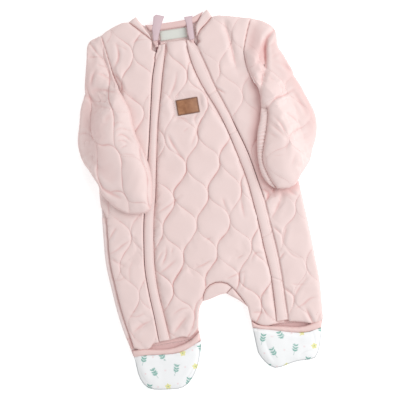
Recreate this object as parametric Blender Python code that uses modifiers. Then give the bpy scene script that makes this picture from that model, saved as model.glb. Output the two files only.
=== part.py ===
"""A baby's quilted romper with two front zips, foot pockets and mittens, laid flat on its back.

The drawing is in millimetres: x runs to the right across the front, y up to the neck and z up from the surface
that the romper lies on. The origin is under the middle of the back. Meshes are stored in metres.
"""

import math

import bmesh
import bpy
import numpy as np
from mathutils import Vector
from mathutils.geometry import delaunay_2d_cdt

METRES = 0.001
SEAM_GAP = 0.5
LAY_GAP = 0.3
EDGE_STEP = 10.0

# How thick each layer of cloth lies.
BACK_WALL = 6.0
FRONT_BASE = BACK_WALL + LAY_GAP
STITCHED = 4.0
PUFF = 6.0
FRONT_TOP = FRONT_BASE + STITCHED + PUFF
BORDER = 2.7
PLACKET_WALL = 3.4
ZIP_WALL = 2.4
SLEEVE_LIFT = FRONT_TOP + LAY_GAP
UNDER_WALL = 4.0
SLIT = 1.0
OVER_WALL = 4.0
SLEEVE_PUFF = 5.0
FOOT_UNDER = 5.0
FOOT_OVER = 8.0
PATCH_SEAT = 7.0
EDGE_ROUND = 8.0
HEM_LEVEL = -207.0
SIDE_ROLL = 8.0

# The quilting is a net of S-shaped lines. A net has one known knot and the two steps from it to the next knots down.
LINE_SWAY = 0.85
LEAF_STEPS = 4
NETS = {
    "body": {"knot": (-18.5, 76.9), "right": (27.5, -49.0), "left": (-27.5, -49.0)},
    "sleeve_left": {"knot": (-158, 143), "right": (36, -26), "left": (-2, -74)},
    "sleeve_right": {"knot": (155, 91), "right": (34, -54), "left": (-42, -32)},
}


def table(columns, rows):
    """A short table with named columns, each a numpy array."""
    values = np.array(rows, float)
    return {name: values[:, i] for i, name in enumerate(columns.split())}


# Across the front, level by level: each zip, and the seam on the inner side of the strip that covers it.
ZIPS = table("level zip_left seam_left seam_right zip_right", [
    (286, -31, -16, 17, 27),
    (260, -37, -23, 18, 34),
    (230, -47, -32, 23, 42),
    (200, -54, -40, 32, 49),
    (160, -63, -51, 48, 62),
    (120, -72, -60, 60, 74),
    (80, -82, -68, 69, 85),
    (40, -91, -76, 77, 92),
    (0, -101, -86, 81, 98),
    (-40, -108, -93, 84, 101),
    (-80, -113, -98, 86, 104),
    (-120, -113, -99, 89, 105),
    (-160, -111, -96, 88, 104),
    (-207, -110, -93, 85, 103),
])

# The side seams below the armpits, level by level.
SIDES = table("level left right", [
    (174, -133, 136),
    (140, -146, 144),
    (100, -158, 151),
    (60, -166, 156),
    (20, -169, 160),
    (-20, -173, 162),
    (-60, -176, 164),
    (-100, -174, 165),
    (-140, -171, 166),
    (-175, -166, 164),
    (HEM_LEVEL, -159, 160),
])

# Edges that turn a corner, as a few points each.
BACK_NECK = [(-58, 329), (-47, 316), (-33, 313), (4, 312), (19, 312), (38, 315), (48, 317), (59, 323)]
NECK_SEAM_LEFT = [(-39, 290), (-46, 298), (-58, 311), (-71, 325)]
NECK_SEAM_RIGHT = [(36, 283), (43, 293), (55, 302), (65, 311)]
SHOULDER_LEFT = [(-71, 325), (-83, 326), (-107, 318), (-119, 311)]
SHOULDER_RIGHT = [(65, 311), (74, 312), (95, 307), (119, 300), (127, 298)]
ARMHOLE_LEFT = [(-119, 311), (-114, 275), (-111, 245), (-105, 217), (-112, 192), (-133, 174)]
ARMHOLE_RIGHT = [(127, 298), (116, 273), (108, 249), (107, 229), (109, 212), (117, 188), (136, 174)]
INSEAM_LEFT = [(-43, HEM_LEVEL), (-42, -180), (-37, -159), (-29, -147)]
INSEAM_RIGHT = [(42, -168), (43, -187), (44, HEM_LEVEL)]
CROTCH = [(-29, -147), (-17, -146), (-5, -143), (9, -140), (17, -146), (29, -155), (42, -168)]
GUSSET_SEAM = [(-29, -147), (-25, -133), (-16, -124), (-6, -120), (7, -121), (17, -126), (24, -135),
               (30, -144), (37, -157), (42, -168)]
CROTCH_TOP = (9, -140)
CENTRE_NECK = [(-25, 284), (-2, 283), (21, 281)]
FRONT_HEM_LEFT = [(-158, -196), (-141, -203), (-122, -200), (-93, -201), (-76, -198), (-60, -197), (-43, -186)]
FRONT_HEM_RIGHT = [(43, -186), (55, -194), (71, -200), (90, -202), (110, -204), (138, -208), (160, -203)]

# Sleeves with closed mitten ends: the edge away from the body round to the tip, then back up over the body.
SLEEVE_LEFT_OUT = [(-119, 311), (-136, 308), (-145, 299), (-150, 277), (-156, 253), (-161, 232), (-162, 221),
                   (-167, 212), (-174, 197), (-180, 173), (-186, 153), (-188, 140), (-187, 124), (-184, 110),
                   (-177, 97), (-171, 83), (-165, 70), (-162, 55), (-154, 42), (-143, 28), (-126, 16), (-107, 12)]
SLEEVE_LEFT_IN = [(-107, 12), (-95, 12), (-86, 19), (-81, 36), (-77, 62), (-78, 91), (-83, 112), (-90, 138),
                  (-92, 158), (-93, 180), (-99, 200), (-105, 217)]
SLEEVE_RIGHT_OUT = [(122, 15), (136, 12), (148, 14), (156, 19), (163, 29), (173, 39), (185, 52), (191, 68),
                    (199, 83), (204, 99), (206, 115), (204, 133), (196, 157), (189, 178), (182, 193), (182, 200),
                    (174, 221), (168, 237), (163, 244), (165, 256), (164, 273), (157, 282), (146, 291), (127, 298)]
SLEEVE_RIGHT_IN = [(117, 188), (121, 172), (119, 150), (129, 146), (126, 130), (121, 112), (116, 98), (111, 84),
                   (107, 70), (107, 55), (111, 40), (115, 28), (122, 15)]

# The gathered band of the hand opening, under the inner edge of the right mitten.
HAND_BAND_IN = [(119, 149), (113, 129), (107, 115), (103, 99), (100, 80), (99, 60), (101, 41), (108, 26), (118, 15)]
HAND_BAND_OUT = [(118, 15), (114, 28), (110, 40), (106, 55), (106, 70), (110, 84), (115, 98), (120, 112), (125, 130),
                 (128, 145), (119, 149)]

# Foot pockets: the rim round the toes, and the two edges of the binding on the mouth.
FOOT_LEFT_RIM = [(-159, HEM_LEVEL), (-156, -224), (-154, -250), (-148, -266), (-139, -274), (-128, -278),
                 (-107, -281), (-87, -282), (-74, -275), (-62, -262), (-52, -243), (-44, -219), (-43, HEM_LEVEL)]
FOOT_LEFT_MOUTH = [(-157, -210), (-141, -209), (-116, -214), (-96, -216), (-79, -214), (-61, -209), (-43, -196)]
FOOT_LEFT_BINDING = [(-156, -220), (-130, -222), (-114, -224), (-89, -226), (-72, -224), (-54, -217), (-44, -211)]
FOOT_RIGHT_RIM = [(44, HEM_LEVEL), (45, -234), (46, -246), (52, -259), (61, -270), (70, -276), (78, -276),
                  (92, -273), (106, -271), (119, -271), (132, -272), (138, -270), (144, -262), (150, -247),
                  (155, -228), (160, HEM_LEVEL)]
FOOT_RIGHT_MOUTH = [(44, -195), (52, -201), (67, -206), (97, -212), (113, -216), (130, -217), (145, -214), (158, -209)]
FOOT_RIGHT_BINDING = [(45, -205), (59, -211), (80, -217), (104, -224), (120, -227), (136, -228), (156, -224)]

# The neck binding lies in three runs: on each side front, and across the back of the neck.
BAND_LEFT = [(-38, 290), (-41, 301), (-49, 315), (-58, 332)]
BAND_RIGHT = [(34, 283), (35, 299), (42, 309), (50, 318), (59, 325)]
BAND_TIP_LEFT = [(-58, 332), (-65, 329), (-71, 325)]
BAND_TIP_RIGHT = [(59, 325), (63, 318), (65, 311)]
BAND_BACK_TOP = [(-46, 317), (-33, 315), (4, 314), (19, 314), (38, 317), (47, 319)]
BAND_BACK_LOW = [(39, 307), (19, 303), (4, 303), (-33, 304), (-40, 306)]

# Each slider's place and how far it is turned to follow its zip.
SLIDER_SIZE = (8.0, 12.0, 3.0)
SLIDERS = {"left": (-33, 283, 8), "right": (26.5, 280, -7)}
RIBBONS = {
    "left": [(-36, 281), (-35, 307), (-31, 320), (-29, 328), (-24, 330), (-12, 325), (-14, 321), (-18, 314),
             (-25, 297), (-29, 281)],
    "right": [(22.5, 278), (21.5, 292), (22, 307), (20, 318), (34, 318), (32, 312), (31.5, 299), (30.5, 278)],
}
RAMP = table("away share", [(4, 1.0), (11, 0.75), (19, 0.25), (27, 0.0)])
RIBBON_LAY = table("level base", [(276, 13.9), (290, 13.9), (303, 11.4), (318, 10.7), (332, 9.2)])
LABELS = {
    "chest_patch": {"centre": (1, 172.5), "size": (36.0, 25.5, 1.5), "seat": PATCH_SEAT + LAY_GAP,
                    "finish": "leather_tan", "turn": 0.0, "edge": 0.5},
    "neck_label": {"centre": (-2, 294), "size": (43.5, 15.5, 0.9), "seat": 0.0,
                   "finish": "label_white", "turn": math.radians(-1.3), "edge": 0.2},
}

# The largest folds: where each runs, how far it bows sideways, and its width and depth.
FOLDS = {
    "sleeve_right": table("x0 y0 x1 y1 bow width depth", [
        (158, 272, 141, 246, -2, 4, 6),
        (141, 246, 124, 180, 3, 5, 7),
        (154, 126, 168, 100, 3, 4, 2),
        (138, 122, 152, 96, 3, 4, 2),
    ]),
    "sleeve_left": table("x0 y0 x1 y1 bow width depth", [
        (-138, 300, -108, 214, -5, 4, 5),
        (-160, 221, -128, 214, 4, 5, 3),
        (-150, 250, -118, 244, 3, 5, 2),
        (-122, 126, -98, 136, -3, 4, 3),
    ]),
    "front_side_right": table("x0 y0 x1 y1 bow width depth", [
        (112, 6, 124, 28, 2, 6, 4),
        (106, -30, 126, 2, -4, 6, 3),
        (84, 296, 90, 220, 2, 5, 3),
    ]),
    "front_side_left": table("x0 y0 x1 y1 bow width depth", [
        (-150, -66, -122, -48, 2, 5, 3),
        (-148, -178, -118, -160, -3, 6, 3),
    ]),
    "front_centre": table("x0 y0 x1 y1 bow width depth", [
        (-40, -94, -4, -86, 2, 5, 3),
        (-84, -190, -62, -166, -3, 5, 3),
        (30, -84, 52, -76, 2, 5, 2),
    ]),
}

# Colours as red, green, blue, then roughness and metallic value.
FINISHES = {
    "quilted_satin": (0.86, 0.66, 0.65, 0.50, 0.0),
    "placket_satin": (0.87, 0.68, 0.66, 0.50, 0.0),
    "binding_pink": (0.85, 0.60, 0.60, 0.70, 0.0),
    "zip_tape": (0.62, 0.40, 0.42, 0.70, 0.0),
    "slider_enamel": (0.80, 0.62, 0.62, 0.30, 0.6),
    "ribbon_mauve": (0.76, 0.58, 0.62, 0.60, 0.0),
    "leather_tan": (0.42, 0.23, 0.13, 0.55, 0.0),
    "label_white": (0.85, 0.88, 0.86, 0.40, 0.0),
    "printed_lining": (0.90, 0.92, 0.93, 0.60, 0.0),
}


# ---------------------------------------------------------------- lines and distances

def curve(points, step=EDGE_STEP):
    """A smooth line through a few points, as points about one step apart."""
    given = np.array(points, float)
    lead = 2 * given[:1] - given[1:2]
    tail = 2 * given[-1:] - given[-2:-1]
    guide = np.vstack([lead, given, tail])
    t = np.linspace(0, 1, 8, endpoint=False)[:, None]
    runs = []
    for a, b, c, d in zip(guide, guide[1:], guide[2:], guide[3:]):
        cubic = 3 * b - a - 3 * c + d
        square = 2 * a - 5 * b + 4 * c - d
        runs.append(0.5 * (2 * b + (c - a) * t + square * t ** 2 + cubic * t ** 3))
    dense = np.vstack(runs + [given[-1:]])
    along = np.concatenate([[0], np.cumsum(np.linalg.norm(np.diff(dense, axis=0), axis=1))])
    stations = np.linspace(0, along[-1], max(1, round(along[-1] / step)) + 1)
    return np.column_stack([np.interp(stations, along, dense[:, i]) for i in (0, 1)])


def outline(*edges):
    """A closed outline, anticlockwise, from edges that each start where the last one ends."""
    loop = np.vstack([edge[:-1] for edge in edges])
    following = np.roll(loop, -1, axis=0)
    area = np.sum(loop[:, 0] * following[:, 1] - loop[:, 1] * following[:, 0])
    return loop if area > 0 else loop[::-1]


def straight(start, end, step=EDGE_STEP):
    return curve([start, end], step)


def by_level(source, column, shift=0.0, top=None, bottom=None):
    """A column of a table as a smooth edge from its top level to its bottom level."""
    line = curve(list(zip(source[column], source["level"])), EDGE_STEP / 3)
    high = line[0, 1] if top is None else top
    low = line[-1, 1] if bottom is None else bottom
    levels = np.linspace(high, low, max(2, round((high - low) / EDGE_STEP) + 1))
    x = np.interp(-levels, -line[:, 1], line[:, 0])
    offset = shift(levels) if callable(shift) else shift
    return np.column_stack([x + offset, levels])


def inward(loop):
    """The direction into an anticlockwise outline at each of its points."""
    along = np.roll(loop, -1, axis=0) - np.roll(loop, 1, axis=0)
    along /= np.linalg.norm(along, axis=1)[:, None]
    return np.column_stack([-along[:, 1], along[:, 0]])


def inset(loop, distance):
    return loop + distance * inward(loop)


def distance(points, line, closed=True):
    """How far each point is from a line of points."""
    start = line if closed else line[:-1]
    end = np.roll(line, -1, axis=0) if closed else line[1:]
    span = end - start
    length = np.maximum((span ** 2).sum(1), 1e-9)
    offset = points[:, None] - start[None]
    t = np.clip((offset * span[None]).sum(2) / length, 0, 1)
    return np.linalg.norm(offset - t[..., None] * span[None], axis=2).min(1)


def inside(points, loop):
    x, y = points[:, 0:1], points[:, 1:2]
    ax, ay = loop[:, 0], loop[:, 1]
    bx, by = np.roll(ax, -1), np.roll(ay, -1)
    crosses = (ay > y) != (by > y)
    at = ax + (y - ay) * (bx - ax) / np.where(by == ay, 1e-9, by - ay)
    return (crosses & (x < at)).sum(1) % 2 == 1


def rounded(share):
    """A quarter ellipse: 0 at an edge, 1 from one edge radius inwards."""
    s = np.clip(share, 0, 1)
    return np.sqrt(np.maximum(1 - (1 - s) ** 2, 0))


def eased(share):
    s = np.clip(share, 0, 1)
    return s * s * (3 - 2 * s)


# ---------------------------------------------------------------- quilting and folds

class Quilting:
    """A net of leaves, sewn along lines of whole u and whole v."""

    def __init__(self, net):
        self.knot = np.array(net["knot"], float)
        self.steps = np.array([net["right"], net["left"]], float)

    @staticmethod
    def sway(t):
        return t - LINE_SWAY * np.sin(2 * math.pi * t) / (2 * math.pi)

    def place(self, u, v):
        """Where a point of the net lies on the cloth."""
        down = (u + v) / 2
        across = (self.sway(u) - self.sway(v)) / 2
        return self.knot + np.column_stack([down + across, down - across]) @ self.steps

    def net(self, points):
        """The u and v of points on the cloth, found by halving an interval."""
        right, left = ((points - self.knot) @ np.linalg.inv(self.steps)).T
        down, across = right + left, right - left
        low = (across + down) / 2 - 0.5
        high = low + 1.0
        for _ in range(24):
            u = (low + high) / 2
            above = self.sway(u) - self.sway(down - u) > across
            high = np.where(above, u, high)
            low = np.where(above, low, u)
        return u, down - u

    def puff(self, points):
        u, v = self.net(points)
        return np.sqrt(np.abs(np.sin(math.pi * u) * np.sin(math.pi * v)))

    def mesh_points(self, loop, margin):
        """Points and sewn lines of the net that lie inside an outline, clear of its edge."""
        u, v = self.net(loop)
        first = np.floor([u.min(), v.min()]).astype(int)
        last = np.ceil([u.max(), v.max()]).astype(int)
        steps_u = np.arange((last[0] - first[0]) * LEAF_STEPS + 1)
        steps_v = np.arange((last[1] - first[1]) * LEAF_STEPS + 1)
        i, j = np.meshgrid(steps_u, steps_v, indexing="ij")
        spots = self.place((first[0] + i / LEAF_STEPS).ravel(), (first[1] + j / LEAF_STEPS).ravel())
        kept = inside(spots, loop) & (distance(spots, loop) > margin)
        number = np.full(len(spots), -1)
        number[kept] = np.arange(kept.sum())
        number = number.reshape(i.shape)
        lines = []
        for grid, sewn in ((number, steps_u % LEAF_STEPS == 0), (number.T, steps_v % LEAF_STEPS == 0)):
            for row in grid[sewn]:
                lines += [(a, b) for a, b in zip(row, row[1:]) if a >= 0 and b >= 0]
        return spots[kept], lines


def fold_line(folds, row):
    """One fold as a bowed line of points."""
    start = np.array([folds["x0"][row], folds["y0"][row]])
    end = np.array([folds["x1"][row], folds["y1"][row]])
    side = np.array([start[1] - end[1], end[0] - start[0]])
    side /= np.linalg.norm(side)
    middle = (start + end) / 2 + folds["bow"][row] * side
    return curve([start, middle, end], 7.0)


def fold_depth(points, folds):
    """How far the folds press the cloth down at each point."""
    depth = np.zeros(len(points))
    for row in range(len(folds["x0"])):
        away = distance(points, fold_line(folds, row), closed=False)
        depth = np.maximum(depth, folds["depth"][row] * np.exp(-(away / folds["width"][row]) ** 2))
    return depth


def scattered(loop, spacing, margin):
    """An even set of points inside an outline, in staggered rows."""
    low, high = loop.min(0), loop.max(0)
    rows = np.arange(low[1] + margin, high[1], spacing * 0.87)
    spots = []
    for k, y in enumerate(rows):
        x = np.arange(low[0] + (k % 2) * spacing / 2, high[0], spacing)
        spots.append(np.column_stack([x, np.full(len(x), y)]))
    spots = np.vstack(spots)
    return spots[inside(spots, loop) & (distance(spots, loop) > margin)]


# ---------------------------------------------------------------- cloth walls

def sheet(loop, rings, spots, lines):
    """Triangles over an outline through rings of points beside its edge and the given spots and lines."""
    points = [loop]
    for depth in rings:
        ring = inset(loop, depth)
        clear = inside(ring, loop) & (distance(ring, loop) > 0.8 * depth)
        points.append(ring[clear])
    first_spot = sum(len(p) for p in points)
    points = np.vstack(points + [spots])
    edges = [(i, (i + 1) % len(loop)) for i in range(len(loop))]
    edges += [(first_spot + a, first_spot + b) for a, b in lines]
    found = delaunay_2d_cdt([Vector(p) for p in points], edges, [], 1, 1e-4)
    flat = np.array([tuple(p) for p in found[0]])
    rim = np.full(len(loop), -1)
    for index, sources in enumerate(found[3]):
        for source in sources:
            if source < len(loop):
                rim[source] = index
    return flat, rim, found[2]


def wall(loop, top, bottom, rings=(), spots=None, lines=(), under_rings=(), under_spots=None, under_lines=()):
    """A closed wall of cloth: an upper sheet and a lower sheet joined round their common outline."""
    none = np.zeros((0, 2))
    over = sheet(loop, rings, none if spots is None else spots, lines)
    under = sheet(loop, under_rings, none if under_spots is None else under_spots, under_lines)
    bm = bmesh.new()
    made = []
    for (flat, _, _), height in ((over, top), (under, bottom)):
        z = height(flat)
        made.append([bm.verts.new((x * METRES, y * METRES, h * METRES)) for (x, y), h in zip(flat, z)])
    for face in over[2]:
        bm.faces.new([made[0][i] for i in face])
    for face in under[2]:
        bm.faces.new([made[1][i] for i in reversed(face)])
    count = len(loop)
    for i in range(count):
        a, b = i, (i + 1) % count
        ring = [made[1][under[1][a]], made[1][under[1][b]], made[0][over[1][b]], made[0][over[1][a]]]
        bm.faces.new(ring)
    bmesh.ops.recalc_face_normals(bm, faces=bm.faces)
    mesh = bpy.data.meshes.new("wall")
    bm.to_mesh(mesh)
    bm.free()
    return mesh


def finish_material(name):
    """The plain material of one cloth or trim."""
    found = bpy.data.materials.get(name)
    if found:
        return found
    red, green, blue, roughness, metallic = FINISHES[name]
    material = bpy.data.materials.new(name)
    material.use_nodes = True
    shader = material.node_tree.nodes["Principled BSDF"]
    shader.inputs["Base Color"].default_value = (red, green, blue, 1)
    shader.inputs["Roughness"].default_value = roughness
    shader.inputs["Metallic"].default_value = metallic
    material.diffuse_color = (red, green, blue, 1)
    return material


def add_piece(name, mesh, finish, spot=(0, 0, 0), turn=0.0, collection="romper"):
    """One named piece in its collection, placed at a spot in millimetres and turned about the vertical."""
    piece = bpy.data.objects.new(name, mesh)
    mesh.name = name
    mesh.materials.append(finish_material(finish))
    mesh.shade_smooth()
    mesh.set_sharp_from_angle(angle=math.radians(50))
    holder = bpy.data.collections.get(collection)
    if holder is None:
        holder = bpy.data.collections.new(collection)
        bpy.context.scene.collection.children.link(holder)
    holder.objects.link(piece)
    piece.location = Vector(spot) * METRES
    piece.rotation_euler.z = turn
    piece.parent = bpy.data.objects["laid_flat"]
    return piece


def block(name, size, finish, spot, turn, edge):
    """A flat block with softened edges, standing on its spot."""
    bm = bmesh.new()
    bmesh.ops.create_cube(bm, size=METRES)
    bmesh.ops.scale(bm, vec=size, verts=bm.verts)
    bmesh.ops.translate(bm, vec=(0, 0, size[2] / 2 * METRES), verts=bm.verts)
    mesh = bpy.data.meshes.new(name)
    bm.to_mesh(mesh)
    bm.free()
    piece = add_piece(name, mesh, finish, spot, turn)
    soften = piece.modifiers.new("soft_edges", "BEVEL")
    soften.width = edge * METRES
    soften.segments = 2
    soften.limit_method = "ANGLE"
    return piece


def cut_away(piece, mesh, name):
    """Cuts a hidden shape out of a piece."""
    cutter = add_piece(name, mesh, "zip_tape", collection="cutters")
    cutter.hide_render = True
    cutter.display_type = "WIRE"
    cut = piece.modifiers.new(name, "BOOLEAN")
    cut.operation = "DIFFERENCE"
    cut.solver = "EXACT"
    cut.object = cutter


def with_features(spots, lines, features, loop):
    """Adds runs of points, each joined up as a line, to the points of a net."""
    for run in features:
        kept = run[inside(run, loop) & (distance(run, loop) > 1.5)]
        first = len(spots)
        spots = np.vstack([spots, kept])
        steps = np.linalg.norm(np.diff(kept, axis=0), axis=1) < 2 * EDGE_STEP
        lines = lines + [(first + i, first + i + 1) for i in np.nonzero(steps)[0]]
    return spots, lines


def quilted(name, loop, quilting, base, thin, puff, shape=None, under=0.0, features=()):
    """A quilted wall: raised leaves between the sewn lines over a plain inside."""
    folds = FOLDS.get(name)
    runs = [fold_line(folds, row) for row in range(len(folds["x0"]))] if folds else []
    spots, lines = quilting.mesh_points(loop, EDGE_ROUND + 1.0)
    spots, lines = with_features(spots, lines, runs + list(features), loop)

    def top(points):
        height = thin + puff * quilting.puff(points)
        if shape:
            height = shape(points, height)
        if folds:
            height = np.maximum(height - fold_depth(points, folds), 0.6 * thin)
        edge = min(1.6, thin)
        swell = rounded(distance(points, loop) / EDGE_ROUND)
        return base(points) + under + edge + (height - edge) * swell

    def bottom(points):
        return base(points) + under * (1 - rounded(distance(points, loop) / EDGE_ROUND))

    if not under:
        return add_piece(name, wall(loop, top, bottom, (3.0,), spots, lines), "quilted_satin")
    below, bends = with_features(scattered(loop, 20.0, EDGE_ROUND), [], features, loop)
    mesh = wall(loop, top, bottom, (3.0,), spots, lines, (4.0,), below, bends)
    return add_piece(name, mesh, "quilted_satin")


def plain(name, loop, base, thick, finish, edge_round=2.0, rings=(2.0,), spacing=None):
    """A plain strip or panel with softened upper edges."""

    def top(points):
        swell = rounded(distance(points, loop) / edge_round)
        edge = 0.45 * thick
        return base(points) + edge + (thick - edge) * swell

    spots = scattered(loop, spacing, edge_round + 1) if spacing else None
    under = spots if spacing else None
    return add_piece(name, wall(loop, top, base, rings, spots, (), (), under), finish)


def level_base(height):
    return lambda points: np.full(len(points), float(height))


# ---------------------------------------------------------------- the body

def zip_room(levels, room):
    """The panels stand further back from the zip beside its slider."""
    return room * eased((levels - 257) / 14)


def back_panel():
    """The back, with both legs, flat underneath. Its left edge rolls up beside the front's side seam."""
    left_edge = by_level(SIDES, "left")
    right_edge = by_level(SIDES, "right")
    loop = inset(outline(
        curve(BACK_NECK),
        straight(BACK_NECK[-1], SHOULDER_RIGHT[0]),
        curve(SHOULDER_RIGHT),
        curve(ARMHOLE_RIGHT),
        right_edge,
        straight(right_edge[-1], INSEAM_RIGHT[-1]),
        curve(INSEAM_RIGHT[::-1]),
        curve(CROTCH[::-1]),
        curve(INSEAM_LEFT[::-1]),
        straight(INSEAM_LEFT[0], left_edge[-1]),
        left_edge[::-1],
        curve(ARMHOLE_LEFT[::-1]),
        curve(SHOULDER_LEFT[::-1]),
        straight(SHOULDER_LEFT[0], BACK_NECK[0]),
    ), SEAM_GAP / 2)
    roll_line = left_edge[left_edge[:, 1] < 20]

    def top(points):
        beside = distance(points, roll_line, closed=False)
        return BACK_WALL + 4.5 * np.interp(beside, [0, 3.5, SIDE_ROLL - 1.0], [0.6, 1.0, 0.0])

    def bottom(points):
        return 3.0 * (1 - rounded(distance(points, loop) / 5.0))

    inner = roll_line + np.array([3.5, 0])
    outer = roll_line + np.array([SIDE_ROLL - 0.5, 0])
    spots = np.vstack([inner[1:-1], outer[1:-1]])
    mesh = wall(loop, top, bottom, (), spots, (), (4.0,))
    return add_piece("back", mesh, "quilted_satin")


def gusset():
    """The two curved pieces between the legs, which meet under the middle of the front's crotch seam."""
    lower, upper = curve(CROTCH), curve(GUSSET_SEAM)
    low_middle, high_middle = [int(np.linalg.norm(line - CROTCH_TOP, axis=1).argmin()) for line in (lower, upper)]
    loops = {
        "left": outline(
            lower[:low_middle + 1],
            straight(lower[low_middle], upper[high_middle]),
            upper[high_middle::-1],
        ),
        "right": outline(
            lower[low_middle:],
            upper[:high_middle - 1:-1],
            straight(upper[high_middle], lower[low_middle]),
        ),
    }
    for side, loop in loops.items():
        base = level_base(FRONT_BASE)
        plain("crotch_gusset_" + side, inset(loop, SEAM_GAP), base, 6.0, "quilted_satin", 6.0, (2.0, 5.0))


def centre_front(quilting):
    """The front between the zips, from the neck to both feet. Its borders are thin under the zip covers."""
    left = by_level(ZIPS, "zip_left", 6.2, top=CENTRE_NECK[0][1], bottom=-201)
    right = by_level(ZIPS, "zip_right", -6.2, top=CENTRE_NECK[-1][1], bottom=-203)
    hem_left = curve([tuple(left[-1])] + FRONT_HEM_LEFT[3:])
    hem_right = curve(FRONT_HEM_RIGHT[:3] + [tuple(right[-1])])
    inseam_left = curve([FRONT_HEM_LEFT[-1], INSEAM_LEFT[2], INSEAM_LEFT[3]])
    inseam_right = curve([INSEAM_RIGHT[0], FRONT_HEM_RIGHT[0]])
    loop = inset(outline(
        left,
        hem_left,
        inseam_left,
        curve(GUSSET_SEAM),
        inseam_right,
        hem_right,
        right[::-1],
        curve([tuple(right[0]), CENTRE_NECK[1], tuple(left[0])]),
    ), SEAM_GAP / 2)
    centre = np.array(LABELS["chest_patch"]["centre"])
    reach = np.array(LABELS["chest_patch"]["size"])[:2] / 2

    covers = by_level(ZIPS, "seam_left", 1.0, top=281), by_level(ZIPS, "seam_right", -1.0, top=279)

    def shape(points, height):
        low, high = [np.interp(-points[:, 1], -cover[:, 1], cover[:, 0]) for cover in covers]
        free = np.minimum(points[:, 0] - low, high - points[:, 0])
        height = BORDER + (height - BORDER) * rounded(free / 9)
        beyond = np.linalg.norm(np.maximum(np.abs(points - centre) - reach, 0), axis=1)
        return PATCH_SEAT + (height - PATCH_SEAT) * eased((beyond - 2) / 12)

    seat = centre + (reach + 1.5) * np.array([(-1, -1), (1, -1), (1, 1), (-1, 1), (-1, -1)])
    features = [straight(a, b) for a, b in zip(seat, seat[1:])] + list(covers)
    return quilted("front_centre", loop, quilting, level_base(FRONT_BASE), STITCHED, PUFF, shape, 0.0, features)


def side_front(side, quilting):
    """The front outside one zip, from shoulder to hem, with the armhole in its outer edge."""
    left = side == "left"
    sign = -1 if left else 1

    def clear(levels):
        return sign * (1.2 + zip_room(levels, 6.0))

    neck = NECK_SEAM_LEFT if left else NECK_SEAM_RIGHT
    shoulder = SHOULDER_LEFT if left else SHOULDER_RIGHT
    armhole = ARMHOLE_LEFT if left else ARMHOLE_RIGHT
    hem = FRONT_HEM_LEFT if left else FRONT_HEM_RIGHT
    zip_edge = by_level(ZIPS, "zip_" + side, clear, top=neck[0][1] - 4, bottom=hem[3][1])
    if left:
        seam = by_level(SIDES, "left", lambda y: SIDE_ROLL * eased((36 - y) / 20), bottom=-196)
        hem_line = curve([tuple(seam[-1]), hem[1], hem[2], tuple(zip_edge[-1])])
    else:
        seam = by_level(SIDES, "right", bottom=-203)
        hem_line = curve([tuple(seam[-1]), hem[5], hem[4], tuple(zip_edge[-1])])
    loop = inset(outline(
        zip_edge[::-1],
        straight(zip_edge[0], neck[0]),
        curve(neck),
        curve(shoulder),
        curve(armhole),
        seam,
        hem_line,
    ), SEAM_GAP / 2)
    return quilted("front_side_" + side, loop, quilting, level_base(FRONT_BASE), STITCHED, PUFF)


def zip_line(side):
    """The zip tape, seen as a dark line beside the strip that covers it."""
    sign = 1 if side == "left" else -1
    outer = by_level(ZIPS, "zip_" + side, -0.8 * sign, top=288, bottom=-199)
    inner = by_level(ZIPS, "zip_" + side, 5.6 * sign, top=288, bottom=-199)
    loop = outline(outer, straight(outer[-1], inner[-1]), inner[::-1], straight(inner[0], outer[0]))
    return plain("zip_" + side, loop, level_base(FRONT_BASE), ZIP_WALL, "zip_tape", 1.0, ())


def placket(side):
    """The padded strip that covers one zip."""
    sign = 1 if side == "left" else -1
    outer = by_level(ZIPS, "zip_" + side, lambda y: sign * (0.6 + zip_room(y, 7.6)), top=280, bottom=-200)
    inner = by_level(ZIPS, "seam_" + side, top=280, bottom=-200)
    loop = outline(outer, straight(outer[-1], inner[-1]), inner[::-1], straight(inner[0], outer[0]))
    base = level_base(FRONT_BASE + BORDER + LAY_GAP)
    return plain("placket_" + side, loop, base, PLACKET_WALL, "placket_satin", 4.0, (3.0,))


def slider(side):
    """A zip slider: a body that narrows towards the closed zip, with a raised bridge for the ribbon."""
    x, y, turn = SLIDERS[side]
    bm = bmesh.new()
    bmesh.ops.create_cube(bm, size=METRES)
    bmesh.ops.scale(bm, vec=SLIDER_SIZE, verts=bm.verts)
    for vert in bm.verts:
        if vert.co.y < 0:
            vert.co.x *= 0.6
    bmesh.ops.bevel(bm, geom=bm.edges, offset=0.6 * METRES, segments=2, profile=0.5, affect="EDGES", material=-1)
    bm.faces.ensure_lookup_table()
    roof = max(bm.faces, key=lambda face: face.calc_center_median().z)
    bmesh.ops.inset_individual(bm, faces=[roof], thickness=1.1 * METRES)
    bridge = bmesh.ops.extrude_discrete_faces(bm, faces=[roof])["faces"][0]
    bmesh.ops.translate(bm, vec=(0, 0, 1.5 * METRES), verts=bridge.verts)
    mesh = bpy.data.meshes.new("slider")
    bm.to_mesh(mesh)
    bm.free()
    height = FRONT_BASE + ZIP_WALL + LAY_GAP + SLIDER_SIZE[2] / 2
    return add_piece("slider_" + side, mesh, "slider_enamel", (x, y, height), math.radians(turn))


def ribbon(side):
    """The ribbon pull, folded up from its slider over the back of the neck."""
    points = np.array(RIBBONS[side] + RIBBONS[side][:1], float)
    edges = [straight(a, b, 5.0) for a, b in zip(points, points[1:])]

    def base(spots):
        return np.interp(spots[:, 1], RIBBON_LAY["level"], RIBBON_LAY["base"])

    return plain("ribbon_" + side, outline(*edges), base, 1.4, "ribbon_mauve", 0.8, (), 5.0)


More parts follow.
